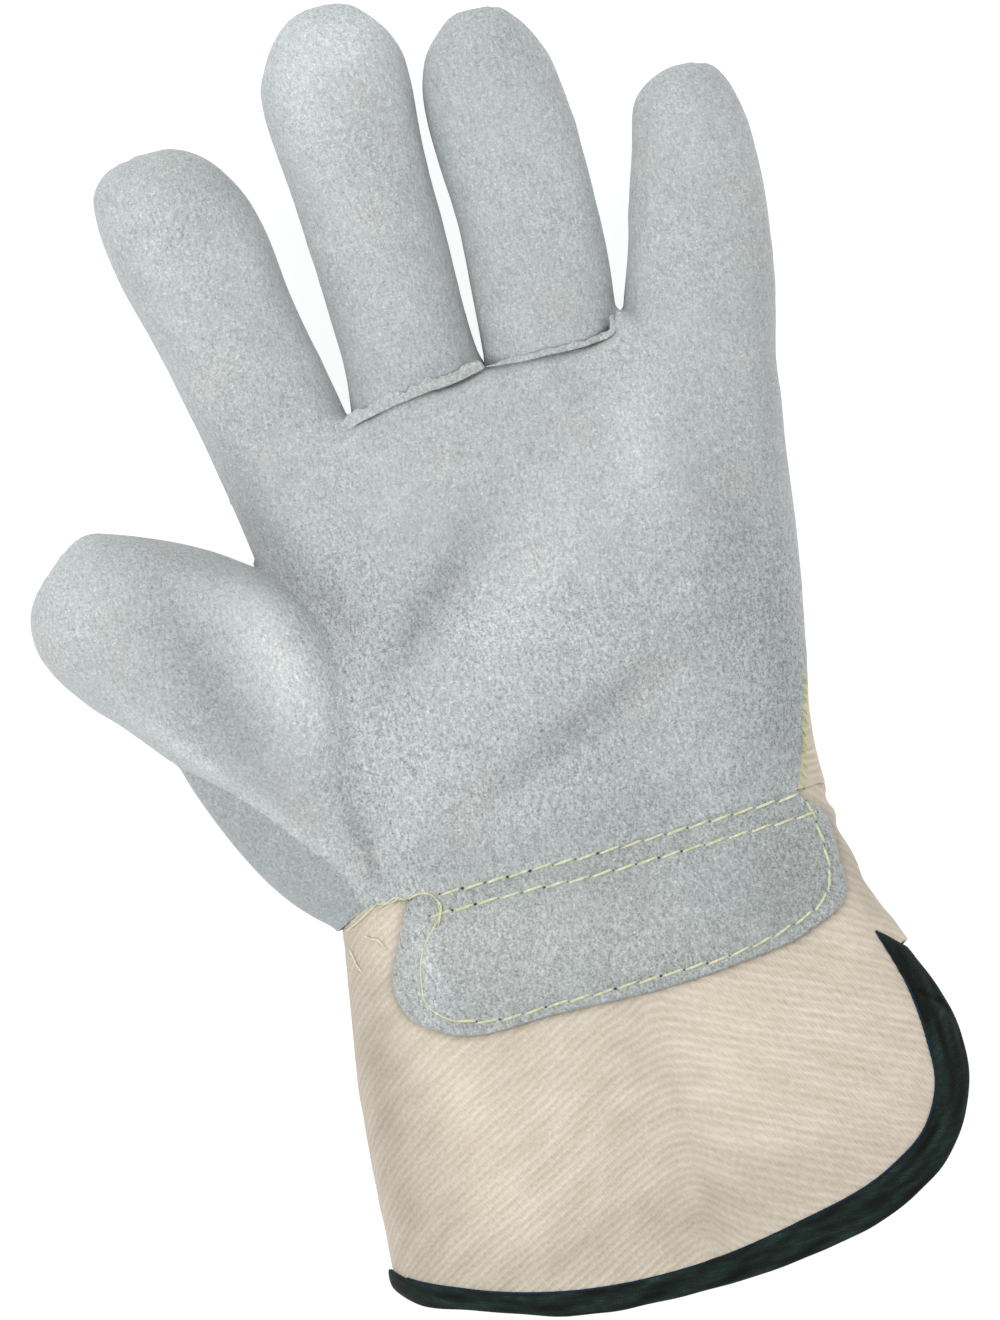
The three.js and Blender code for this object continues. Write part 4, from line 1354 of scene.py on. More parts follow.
EDGE_THREAD = Suede("green_thread", (0.42, 0.46, 0.2, 1), (0.6, 0.64, 0.36, 1), (0.24, 0.28, 0.09, 1),
                    grain=0.0008, bump=0.0001)
# Dark lenses for the needle holes: painted shade in each hole
HOLE_SHADE = Suede("needle_hole_shade", (0.05, 0.05, 0.045, 1), (0.08, 0.08, 0.07, 1), (0.02, 0.02, 0.02, 1),
             bump=0.0001)


# Pieces


def set_values(piece: Piece, name: str, values: Array) -> None:
    """Keeps one number a point on a mesh, for its material to read."""
    attribute = piece.data.attributes.new(name, "FLOAT", "POINT")
    attribute.data.foreach_set("value", values.astype(np.float32))


def set_cloth(piece: Piece, flat: Array) -> None:
    """Keeps each point's place on the flat cloth, in metres, as the mesh's own map.

    Args:
        piece: the piece.
        flat: the points' places on the cloth, in millimetres.
    """
    layer = piece.data.uv_layers.new(name="cloth")
    corner = np.zeros(len(piece.data.loops), dtype=np.int32)
    piece.data.loops.foreach_get("vertex_index", corner)
    layer.data.foreach_set("uv", (flat[corner] * MM).astype(np.float32).ravel())


def dress(piece: Piece, material: bpy.types.Material, slot: str | None, *nodes: str) -> None:
    """Gives a piece its material, its place on the glove's body, and the solids it stands for.

    Args:
        piece: the piece.
        material: its material.
        slot: not used.
        nodes: the solids that it stands for.
    """
    piece.data.materials.append(material)
    if nodes:
        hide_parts(*nodes)
    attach(piece, "root")
    log.info("%s: %d faces", piece.name, len(piece.data.polygons))


def point_normals(points: Array, quads: Array) -> Array:
    """Outward normal at each point: the mean of the crosses of its faces' diagonals.

    Args:
        points: places in the hand's frame, three columns.
        quads: faces, as numbers of their points.

    Returns:
        The normals, of length one.
    """
    corners = points[quads]
    normal = np.cross(corners[:, 2] - corners[:, 0], corners[:, 3] - corners[:, 1])
    total = np.stack([
        np.bincount(quads.ravel(), np.repeat(part, 4), len(points)) for part in normal.T], axis=1)
    return total / np.maximum(np.linalg.norm(total, axis=1), 1e-9)[:, None]


def walled_mesh(name: str, points: Array, normals: Array, quads: Array, wall: float) -> Piece:
    """A sheet cut from a larger surface and given a wall inwards, the two layers joined round every border.
    It shades by the larger surface's normals, so that neighbouring sheets meet without a break.

    Args:
        name: the object's name.
        points: the larger surface's points.
        normals: its normals at them.
        quads: the faces to keep.
        wall: the wall's thickness.

    Returns:
        The object, whose first points are the sheet's own, in the order of the numbers that quads uses.
    """
    used, inverse = np.unique(quads, return_inverse=True)
    faces, count = inverse.reshape(quads.shape), len(used)
    edges = np.concatenate([faces[:, [k, (k + 1) % 4]] for k in range(4)])
    _, first, times = np.unique(np.sort(edges, axis=1), axis=0, return_index=True, return_counts=True)
    border = edges[first[times == 1]]
    rim = np.stack([border[:, 1], border[:, 0], border[:, 0] + count, border[:, 1] + count], axis=1)
    outer, normal = points[used], normals[used]
    piece = new_mesh(name, np.vstack([outer, outer - normal * wall]), [faces, faces[:, ::-1] + count, rim])
    piece.data.normals_split_custom_set_from_vertices(np.vstack([normal, -normal]).tolist())
    return piece


def joined_line(*parts: Array) -> Array:
    """A plan line or closed outline from stretches that follow each other."""
    return np.vstack(parts)


def border_points(quads: Array, labels: Array) -> Array:
    """Points of the edges where faces of different labels meet.

    Args:
        quads: faces, as numbers of their points.
        labels: a number for each face.

    Returns:
        The numbers of the points on the borders.
    """
    edges = np.concatenate([quads[:, [k, (k + 1) % 4]] for k in range(4)])
    owner = np.tile(labels, 4)
    edges.sort(axis=1)
    order = np.lexsort((edges[:, 1], edges[:, 0]))
    edges, owner = edges[order], owner[order]
    same = (edges[1:] == edges[:-1]).all(axis=1) & (owner[1:] != owner[:-1])
    return np.unique(edges[1:][same])


def uprightness(points: Array, quads: Array) -> Array:
    """How level the surface lies at each point, from nought where it is a wall to one where it is flat; the
    side seams' narrow band counts as level, so that it can be drawn onto its height.

    Args:
        points: places in the hand's frame, three columns.
        quads: faces, as numbers of their points.

    Returns:
        The share at each point.
    """
    share = np.abs(point_normals(points, quads)[:, 2])
    near_side = np.abs(points[:, 2] - seam_height(points[:, 1])) < 1.5
    return np.where(near_side, 1.0, share)


class Panel(Enum):
    """The hand's panels, in the order they are cut, each by the name of its solid."""

    THUMB = "thumb"
    MIDDLE_FRONT = "middle_front"
    RING_FRONT = "ring_front"
    PALM = "palm"
    THUMB_GUSSET = "thumb_gusset"
    INDEX_BACK = "index_back"
    MIDDLE_BACK = "middle_back"
    RING_BACK = "ring_back"
    LITTLE_BACK = "little_back"
    BACK_OF_HAND = "back_of_hand"


def panel_regions() -> dict[Panel, Array]:
    """Plan outlines of the panels, along the same seams as the solids'.

    Returns:
        Each panel's closed outline. The back of the hand is what is left.
    """
    knuckle = KNUCKLE_LINE
    index_fork, middle_fork, ring_fork = on_hand(INDEX_FORK), on_hand(MIDDLE_FORK), on_hand(RING_FORK)
    crotch, outside = on_hand((THUMB_CROTCH,)), on_hand(OUTSIDE_THUMB)
    below = on_hand(BELOW_THUMB)
    return {
        Panel.THUMB: joined_line(VALLEY_LINE, crotch, outside, FOLD_LINE),
        Panel.MIDDLE_FRONT: joined_line(MIDDLE_BASE_LINE, middle_fork[1:], index_fork[:0:-1]),
        Panel.RING_FRONT: joined_line(RING_BASE_LINE, ring_fork[1:], middle_fork[:0:-1]),
        Panel.PALM: joined_line(
            below[:1], [[OUTER_LINE[-1, 0], below[0, 1]]], OUTER_LINE[::-1], on_hand(OUTSIDE_LITTLE)[::-1],
            on_hand(OUTSIDE_INDEX)[::-1], outside[:1], crotch, VALLEY_LINE[::-1]),
        Panel.THUMB_GUSSET: joined_line(on_hand(THUMB_BACK_SEAM), crotch, outside, below[::-1]),
        Panel.INDEX_BACK: joined_line(
            [[-HAND_WIDTH, knuckle], [index_fork[0, 0], knuckle]], index_fork, [[-HAND_WIDTH, REACH]]),
        Panel.MIDDLE_BACK: joined_line(
            [[index_fork[0, 0], knuckle], [middle_fork[0, 0], knuckle]], middle_fork, index_fork[::-1]),
        Panel.RING_BACK: joined_line(
            [[middle_fork[0, 0], knuckle], [ring_fork[0, 0], knuckle]], ring_fork, middle_fork[::-1]),
        Panel.LITTLE_BACK: joined_line(
            [[ring_fork[0, 0], knuckle], [HAND_WIDTH, knuckle], [HAND_WIDTH, REACH]], ring_fork[::-1]),
    }


@dataclass
class Hand:
    """The hand's leather and canvas panels, all cut from one surface so that they meet along their seams."""

    volume: Volume = Volume((-110.0, -20.0, -3.0), (74.0, 193.0, 48.0), 0.75)
    wall: float = WALL
    thumb_side: float = -48.0
    thumb_end: float = 92.0
    top: Array | None = None

    def build(self) -> None:
        """Works the surface out, cuts it into panels and dresses each."""
        field = hand_field(*self.volume.axes())
        self.top = self.volume.heights(field)
        points, quads = self.volume.surface(field)
        points, labels = self.cut(points, quads)
        normals = point_normals(points, quads)
        leather, gusset_in_shade = LEATHER.material(), SHADED_GUSSET_LEATHER.material()
        canvas = CANVAS.material()
        for number, panel in enumerate(Panel):
            faces = quads[labels == number]
            piece = walled_mesh("panel_" + panel.value, points, normals, faces, self.wall)
            both = np.tile(points[np.unique(faces)], (2, 1))
            if panel is Panel.BACK_OF_HAND:
                set_cloth(piece, bent_cloth(both[:, 0] + 0.6 * both[:, 2], both[:, 1]))
                dress(piece, canvas, "canvas", panel.value)
            else:
                # Painted shade along the creases and painted light and shade of the folds, kept at each
                # point for the colour
                set_values(piece, "crease", self.crease(both))
                set_values(piece, "nap", self.nap(both))
                set_values(piece, "coarse", coarseness(both[:, 0], both[:, 1]))
                # The gusset takes the darker copy of the leather, painted shade under the thumb
                finish = gusset_in_shade if panel is Panel.THUMB_GUSSET else leather
                dress(piece, finish, "leather", panel.value)

    def cut(self, points: Array, quads: Array) -> tuple[Array, Array]:
        """Draws the points near the seams onto them and gives each face its panel, or none below the wrist.

        Args:
            points: the surface's points.
            quads: its faces.

        Returns:
            The moved points, and a panel's number or -1 for each face.
        """
        level = np.flatnonzero(uprightness(points, quads) > 0.45)
        points = self.onto_seams(points, level, 0.3 * self.volume.cell)
        labels = self.label(points[quads].mean(axis=1))
        for _ in range(2):
            border = np.intersect1d(border_points(quads, labels), level)
            points = self.onto_seams(points, border, 1.3 * self.volume.cell)
        return points, labels

    def label(self, centre: Array) -> Array:
        """Number of the panel that holds each place, by its plan outline and its side of the side seams.

        Args:
            centre: the middles of the faces.

        Returns:
            The number of each face's panel, or -1 below the wrist seam.
        """
        plan, height = centre[:, :2], centre[:, 2]
        labels = np.full(len(centre), len(Panel) - 1)
        upper = height > seam_height(centre[:, 1])
        thumb_upper = height > thumb_seam_height(centre[:, 0], centre[:, 1])
        sides = {Panel.THUMB: thumb_upper, Panel.MIDDLE_FRONT: upper, Panel.RING_FRONT: upper,
                 Panel.PALM: upper}
        outlines = panel_regions()
        for number, panel in reversed(list(enumerate(Panel))[:-1]):
            held = inside(plan, outlines[panel]) & sides.get(panel, True)
            labels[held] = number
        labels[plan[:, 1] < wrist_seam(plan[:, 0])] = -1
        return labels

    def onto_seams(self, points: Array, chosen: Array, reach: float) -> Array:
        """Moves the chosen points that lie within reach of a seam onto it, in plan or in height.

        Args:
            points: places in the hand's frame, three columns.
            chosen: numbers of the points that may move.
            reach: how far off a seam a point may lie and still move.

        Returns:
            The points, moved where they are near.
        """
        plan = points[chosen, :2]
        best, place = nearest_on(plan, WRIST_LINE)
        for outline in panel_regions().values():
            distance, on_line = nearest_on(plan, outline)
            closer = distance < best
            best, place = np.where(closer, distance, best), np.where(closer[:, None], on_line, place)
        height = points[chosen, 2]
        side = seam_height(plan[:, 1])
        by_thumb = (plan[:, 0] < self.thumb_side) & (plan[:, 1] < self.thumb_end)
        side = np.where(by_thumb, thumb_seam_height(plan[:, 0], plan[:, 1]), side)
        rise = np.abs(height - side)
        moved = points.copy()
        in_plan = (best <= rise) & (best < reach)
        in_height = (rise < best) & (rise < reach)
        moved[chosen[in_plan], :2] = place[in_plan]
        moved[chosen[in_height], 2] = side[in_height]
        return moved

    def crease(self, points: Array) -> Array:
        """Darkness of the leather along the seams that the hand's folds hide from the light.

        Args:
            points: the leather's points.

        Returns:
            The share of the dark colour at each.
        """
        plan = points[:, :2]
        deep = np.interp(plan[:, 1], (0.0, 12.0, 30.0, 55.0, 66.0), (0.9, 0.75, 0.45, 0.6, 0.9))
        crack = 0.2 + 0.6 * bell(plan[:, 0] + 6, 6) + 0.25 * ramp(plan[:, 0], 8, 18)
        in_valley = deep * 0.14 * bell(way_from(plan, VALLEY_LINE), SHADE_WIDTH)
        return crack * bell(finger_bases(plan), CRACK_WIDTH) + in_valley

    def nap(self, points: Array) -> Array:
        """Painted light and shade of the leather's folds on the upper side, fading out down the sides."""
        upper = ramp(points[:, 2], SEAM_HEIGHT - 6, SEAM_HEIGHT + 2)
        return upper * marks_at(LEATHER_MARKS, points[:, 0], points[:, 1], False)

    def height(self, x: Array, y: Array) -> Array:
        """Height of the hand's upper surface."""
        return self.volume.read(self.top, x, y)


RIB_PLACES = (-60, -18, 12, 40)
RIB_CLIMBS = (35, 28, -18, -23)
NEUTRAL_ROW = 54.0
RIGHT_EASE = 0.2  # how much wider the ribs of the cuff's right half stand


def bent_cloth(across: Array, along: Array, eased: float = 0.0) -> Array:
    """Flat coordinates of the drill, the second counting across its ribs, which climb to the right on the
    left half of the cuff and fall a little on the right half, where the eased cloth's ribs stand wider.

    Args:
        across: way round the sleeve from its upper middle.
        along: place along the hand.
        eased: how much wider the right half's ribs stand.

    Returns:
        The flat coordinates, two columns.
    """
    stations = np.linspace(-160, 160, 321)
    slope = np.tan(np.radians(np.interp(stations, RIB_PLACES, RIB_CLIMBS)))
    climb = np.concatenate([[0], np.cumsum((slope[1:] + slope[:-1]) / 2)])
    scale = 1 - eased * ramp(across, -8, 12)
    row = (along + NEUTRAL_ROW) * scale - np.interp(across, stations, climb)
    return np.stack([across + 0.4 * along, row], axis=1)


@dataclass
class Cuff:
    """The canvas cuff and the tape folded over its hem."""

    volume: Volume = Volume((-72.0, -104.0, -3.0), (80.0, 14.0, 48.0), 0.85)
    fine: Volume = Volume((-72.0, -102.0, -2.0), (78.0, -24.0, 47.0), 0.5)
    wall: float = WALL
    tape_overreach: float = 0.15
    selvedge_radius: float = 0.3
    selvedge_end: float = 0.965  # share of the cuff's half width past which the tape turns down its side
    top: Array | None = None

    def build(self) -> None:
        """Builds the cuff and its binding."""
        field = cuff_field(*self.volume.axes())
        self.top = self.volume.heights(field)
        points, quads = self.volume.surface(field)
        beyond = [[REACH, HEM_LINE[-1, 1]], [REACH, REACH], [-REACH, REACH]]
        hem = joined_line([[-REACH, HEM_LINE[0, 1]]], HEM_LINE, beyond)
        points = self.onto_lines(points, hem, 0.35 * self.volume.cell)
        kept = self.held(points[quads].mean(axis=1), hem)
        border = border_points(quads, kept.astype(int))
        points[border] = self.onto_lines(points[border], hem, 1.3 * self.volume.cell)
        faces = quads[kept]
        piece = walled_mesh("canvas_cuff", points, point_normals(points, quads), faces, self.wall)
        both = np.tile(points[np.unique(faces)], (2, 1))
        set_cloth(piece, self.flat(both))
        upper = ramp(both[:, 2], SEAM_HEIGHT - 6, SEAM_HEIGHT + 2)
        under = way_from(both[:, :2], np.vstack([PATCH_LINE, PATCH_LINE[:1]]))
        shade_there = marks_at(CANVAS_MARKS, both[:, 0], both[:, 1], False)
        # Painted shadow along the patch's edge, added to the canvas's lighter and darker places
        set_values(piece, "nap", upper * (shade_there - 0.22 * bell(under, 0.9)))
        dress(piece, CANVAS.material(), "canvas", "cuff")
        self.bind()

    def held(self, places: Array, hem: Array) -> Array:
        """Whether places are on the cuff: under the wrist seam and inside the hem by the tape's room.

        Args:
            places: middles of the faces.
            hem: the outline that the hem cuts.

        Returns:
            True for each place on the cuff.
        """
        plan = places[:, :2]
        distance = way_from(plan, hem)
        return (plan[:, 1] < wrist_seam(plan[:, 0])) & inside(plan, hem) & (distance > TAPE_ROOM)

    def onto_lines(self, points: Array, hem: Array, reach: float) -> Array:
        """Moves points that lie near the wrist seam, or near the line inside the hem, onto them.

        Args:
            points: places in the hand's frame, three columns.
            hem: the outline that the hem cuts.
            reach: how near a point has to lie.

        Returns:
            The points, moved where they are near.
        """
        moved = points.copy()
        seam, on_seam = nearest_on(points[:, :2], WRIST_LINE)
        distance, on_hem = nearest_on(points[:, :2], hem)
        away = (points[:, :2] - on_hem) / np.maximum(distance, 1e-6)[:, None]
        by_hem = inside(points[:, :2], hem) & (np.abs(distance - TAPE_ROOM) < reach)
        by_seam = seam < reach
        moved[by_hem, :2] = (on_hem + away * TAPE_ROOM)[by_hem]
        moved[by_seam, :2] = on_seam[by_seam]
        return moved

    def flat(self, points: Array) -> Array:
        """Place of each point on the flat cloth: the way round the tube from the middle of its upper side,
        measured on a row of sections, and the way along the glove.

        Args:
            points: the cuff's points.

        Returns:
            The places on the cloth, two columns.
        """
        sections, turns = 60, 360
        y = points[:, 1]
        centre, half, up, down = TRUNK.section(y)
        height = points[:, 2] - SEAM_HEIGHT
        angle = np.arctan2(height / np.where(height > 0, up, down), (points[:, 0] - centre) / half)
        from_top = np.mod(math.pi / 2 - angle + math.pi, 2 * math.pi) - math.pi
        stations = np.linspace(self.volume.low[1], self.volume.high[1], sections)
        angles = np.linspace(-math.pi, math.pi, turns + 1)
        rim = TRUNK.point(math.pi / 2 - angles[:, None], stations[None, :])
        steps = np.linalg.norm(np.diff(rim, axis=0), axis=2)
        way = np.concatenate([np.zeros((1, sections)), np.cumsum(steps, axis=0)])
        way = way - way[turns // 2]
        turn = (from_top + math.pi) / (angles[1] - angles[0])
        around = grid_values(way, turn, (y - stations[0]) / (stations[1] - stations[0]))
        return bent_cloth(around, y, RIGHT_EASE)

    def bind(self) -> None:
        """Builds the tape and the selvedge thread along its inner edge."""
        points, quads = self.fine.surface(self.tape_field(*self.fine.axes()))
        piece = new_mesh("hem_tape", points, [quads])
        set_cloth(piece, points[:, :2] + points[:, 2:] * (0.5, 0.7))
        # Painted light and shade of the tape's folds, and its darker end, for the tape's colour
        set_values(piece, "nap", self.tape_shade(points))
        dress(piece, TAPE.material(), "binding_tape", "hem_binding")
        centre, half, _, _ = TRUNK.section(BINDING_LINE[:, 1])
        level = np.abs(BINDING_LINE[:, 0] - centre) < self.selvedge_end * half
        line = smooth_line(BINDING_LINE[level], 400)
        height = self.height(line[:, 0], line[:, 1]) + self.selvedge_radius
        path = np.column_stack([line, height])[None]
        thread = thread_mesh("binding_selvedge", path, self.selvedge_radius, np.ones(len(line)))
        set_cloth(thread, np.zeros((len(thread.data.vertices), 2)))
        dress(thread, SELVEDGE.material(), None)

    def tape_field(self, x: Array, y: Array, z: Array) -> Array:
        """Field of the tape: the sleeve grown by its room, less what lies inside the cloth, over the band
        between the hem's line and the binding's inner edge, with every edge rounded.

        Args:
            x, y, z: places across the hand, along it and up from the surface.

        Returns:
            The field at each place, negative inside.
        """
        plan = np.stack(np.broadcast_arrays(x, y), axis=-1)
        band = joined_line(HEM_LINE[:-3], TAPE_END, BINDING_LINE[::-1])
        distance = way_from(plan, np.vstack([band, band[:1]]))
        distance = np.where(inside(plan, band), -distance, distance)
        inner = way_from(plan, BINDING_LINE)
        frayed = 0.1 * soft_noise(x, y, 7, 51) * bell(inner, 2.0)
        distance = distance + frayed + 0.09 * soft_noise(x, y, 12, 53) - self.tape_overreach
        outer = cuff_field(x, y, z)
        ripple = 0.3 * np.sin(inner * 2 * math.pi / 2.6 + 2 * soft_noise(x, y, 30, 52))
        overlap = 0.7 * bell(way_from(plan, TAPE_FOLD_LINE), TAPE_FOLD_WIDTH)
        room = TAPE_ROOM + (ripple * bell(inner - 4, 4) - overlap) * ramp(z, 20, 28)
        body = smooth_greatest(outer - room, -(outer + self.wall + TAPE_ROOM), 0.9)
        return smooth_greatest(body, distance, 1.2)

    def tape_shade(self, points: Array) -> Array:
        """How light or dark the tape is painted: streaks along it, painted light and shade of its lengthwise
        folds, painted shade under its fold, and a black end.

        Args:
            points: the tape's points.

        Returns:
            The change of tone at each, nought being none.
        """
        x, y = points[:, 0], points[:, 1]
        inner = way_from(points[:, :2], BINDING_LINE)
        along = np.arctan2(y + 50, x) * 60
        # Painted light and shade of the lengthwise folds
        streaks = 0.5 * soft_noise(inner * 5, along * 0.5, 9, 54)
        # Painted shade under the tape's fold
        fold = 0.75 * bell(way_from(points[:, :2], TAPE_FOLD_LINE), TAPE_FOLD_WIDTH)
        black_end = 0.5 * ramp(y, -56, -46) * ramp(x, 40, 55)
        return np.clip(streaks - fold - black_end, -0.8, 1.2)

    def height(self, x: Array, y: Array) -> Array:
        """Height of the cuff's upper surface."""
        return self.volume.read(self.top, x, y)


@dataclass
class Patch:
    """The leather patch sewn over the pulse, with its puffed edge."""

    cuff: Cuff
    hand: Hand
    thickness: float = PATCH_THICKNESS
    rounding: float = 0.9
    rings: int = 48
    middle: tuple[float, float] = (6.0, -17.0)

    def surface_height(self, x: Array, y: Array) -> Array:
        """Height of the patch's upper side: the cuff's, plus its thickness, lower by the stitches.

        Args:
            x, y: places across the hand and along it.

        Returns:
            The height at each place.
        """
        lift = self.thickness + SEAM_GAP / 2 + 0.12 * soft_noise(x, y, 7, 31)
        plan = np.stack([x, y], axis=-1)
        sewn = np.minimum(way_from(plan, LOWER_ROW), way_from(plan, EDGE_ROW))
        meets = ramp(y - wrist_seam(x), -4.0, -0.4)
        body = self.cuff.height(x, y) * (1 - meets) + (self.hand.height(x, y) - lift + 0.07) * meets
        body = np.maximum(body, SEAM_HEIGHT + 5)
        return body + lift - 0.45 * bell(sewn, STITCH_DENT_WIDTH) * (1 - meets)

    def outline(self) -> Array:
        """The patch's outline, its upper edge drawn up to the palm's along the wrist seam.

        Returns:
            The outline's points, as many as the patch's line has.
        """
        line = PATCH_LINE.copy()
        gap = wrist_seam(line[:, 0]) - line[:, 1]
        upper = (gap < 5) & (line[:, 0] > -38) & (line[:, 0] < 46.5)
        line[upper, 1] += (gap[upper] + 0.3) * ramp(-gap[upper], -5, -2.5)
        notch = np.hypot(line[:, 0] + 42.3, line[:, 1] + 7.4)
        return line + np.outer(bell(notch, 0.9), (1.0, -0.15))

    def build(self) -> None:
        """Builds the patch as rings from its middle out to its edge, and back under."""
        middle = np.array(self.middle)
        outline = self.outline()
        share = 1 - (1 - np.linspace(0, 1, self.rings)) ** 1.7
        share[0] = 0.01
        top = middle + share[:, None, None] * (outline - middle)
        x, y = top[..., 0], top[..., 1]
        edge = np.linalg.norm(outline - middle, axis=1) * (1 - share[:, None])
        near_seam = ramp(y - wrist_seam(x), -3.0, -1.2) * ramp(-x, -47, -44) * ramp(x, -38, -34)
        fall = 1 - np.sqrt(np.clip(1 - np.clip(1 - edge / self.rounding, 0, 1) ** 2, 0, 1))
        height = self.surface_height(x, y) - fall * self.thickness * (1 - near_seam)
        bottom = np.minimum(self.cuff.height(x, y) + 0.05, height - 0.2)
        under = np.concatenate([top, bottom[..., None]], axis=-1)[::-1]
        rows = np.concatenate([np.concatenate([top, height[..., None]], axis=-1), under])
        poles = np.stack([rows[0].mean(axis=0), rows[-1].mean(axis=0)])
        points = np.vstack([rows.reshape(-1, 3), poles])
        faces, fans = capped_faces(2 * self.rings, len(PATCH_LINE))
        if outline_turns_left(PATCH_LINE):
            faces, fans = faces[:, ::-1], fans[:, ::-1]
        piece = new_mesh("wrist_patch", points, [faces, fans])
        # Painted light and shade from the leather's marks, for the patch's colour
        set_values(piece, "nap", marks_at(LEATHER_MARKS, points[:, 0], points[:, 1], False))
        set_values(piece, "coarse", coarseness(points[:, 0], points[:, 1]))
        dress(piece, PATCH_LEATHER.material(), "leather", "pulse_patch")


def outline_turns_left(outline: Array) -> bool:
    """Whether a closed plan outline runs against the clock."""
    x, y = outline[:, 0], outline[:, 1]
    return bool((x * np.roll(y, -1) - np.roll(x, -1) * y).sum() > 0)


UPPER_ROW = smooth_line(np.array([
    (-32.6, -2.4), (-19.4, -2.0), (2.5, -1.2), (24.6, 0.1), (46.4, 1.6)]), 200)
LOWER_ROW = smooth_line(np.array([
    (-35.7, -6.5), (-20.3, -6.0), (1.6, -5.6), (23.7, -4.4), (49.5, -2.9)]), 200)
EDGE_ROW = smooth_line(np.array([
    (-33.9, -4.7), (-37.2, -11.6), (-40.0, -16.4), (-41.2, -20.5), (-40.2, -25.1), (-36.2, -28.8),
    (-31.1, -30.4), (-12.7, -30.5), (5.0, -29.7), (27.1, -28.0), (38.7, -25.1), (47.4, -20.1),
    (49.1, -16.5), (49.4, -11.2), (49.0, -6.3), (47.7, 0.1)]), 400)

SIDE_ROW = smooth_line(np.array([(53.2, 26.6), (52.0, 20.9), (50.1, 12.7), (48.0, 4.0), (47.6, 2.4)]), 120)
EDGE_THREAD_LINE = smooth_line(np.array([
    (-33.3, -3.7), (-33.5, -6.7), (-35.7, -9.5), (-38.0, -12.3), (-39.9, -16.7), (-40.5, -20.7),
    (-40.6, -23.9), (-37.4, -28.1), (-34.5, -29.6), (-31.0, -30.3)]), 60)


@dataclass
class Welt:
    """A narrow raised strip of leather sewn into a finger's base seam, with a ragged upper edge. Its section
    is a superellipse, and it grows to its full size over a stretch at its left end."""

    name: str
    solid: str
    line: Array
    hand: Hand
    width: float
    squareness: float
    growth: float
    uneven: float
    seed: int
    rise: float = 0.55
    overhang: float = 0.1

    def build(self) -> None:
        """Builds the strip: a boxy flattened superellipse carried along the seam, lying on the finger just
        over it and overhanging the crack, its upper edge and its height uneven."""
        stations, sides, level = 170, 24, 9
        line = smooth_line(self.line, stations)
        run = np.gradient(line, axis=0)
        run /= np.linalg.norm(run, axis=1)[:, None]
        side = np.stack([-run[:, 1], run[:, 0]], axis=1)
        way = np.linspace(0, way_along(line)[-1], stations)
        ragged = 1 + self.uneven * soft_noise(way, way * 0, 4.5, self.seed)
        ragged = ragged + 0.4 * self.uneven * soft_noise(way, way * 0, 1.5, self.seed + 2)
        ends = np.sqrt(np.clip(1 - np.abs(np.linspace(-1, 1, stations)) ** 24, 0.02, 1))
        ends = ends * (0.25 + 0.75 * ramp(way, 0.0, self.growth))
        angle = np.linspace(0, 2 * math.pi, sides, endpoint=False)
        sweep = signed_power(np.cos(angle), 2 / self.squareness)
        rise = signed_power(np.sin(angle), 2 / self.squareness)
        reach = np.where(sweep > 0, 0.92 * ragged[:, None], self.overhang * (2 - ragged[:, None]))
        across = sweep * reach * self.width * ends[:, None]
        lift = (self.rise * (1 + 0.2 * soft_noise(way, way * 0, 6, self.seed + 1)) * ends)[:, None]
        plan = line[:, None, :] + side[:, None, :] * across[..., None]
        beyond = line + side * self.width
        base = self.hand.height(beyond[:, 0], beyond[:, 1])
        base = np.maximum(base, base.max() - 2.5)
        base = np.convolve(np.pad(base, level // 2, "edge"), np.ones(level) / level, "valid")[:, None]
        points = np.concatenate([plan, (base + lift * (0.55 + rise))[..., None]], axis=-1)
        poles = np.stack([points[0].mean(axis=0), points[-1].mean(axis=0)])
        points = np.vstack([points.reshape(-1, 3), poles])
        piece = new_mesh(self.name, points, list(capped_faces(stations, sides)))
        dress(piece, EDGE_LEATHER.material(), "leather_edge", self.solid)


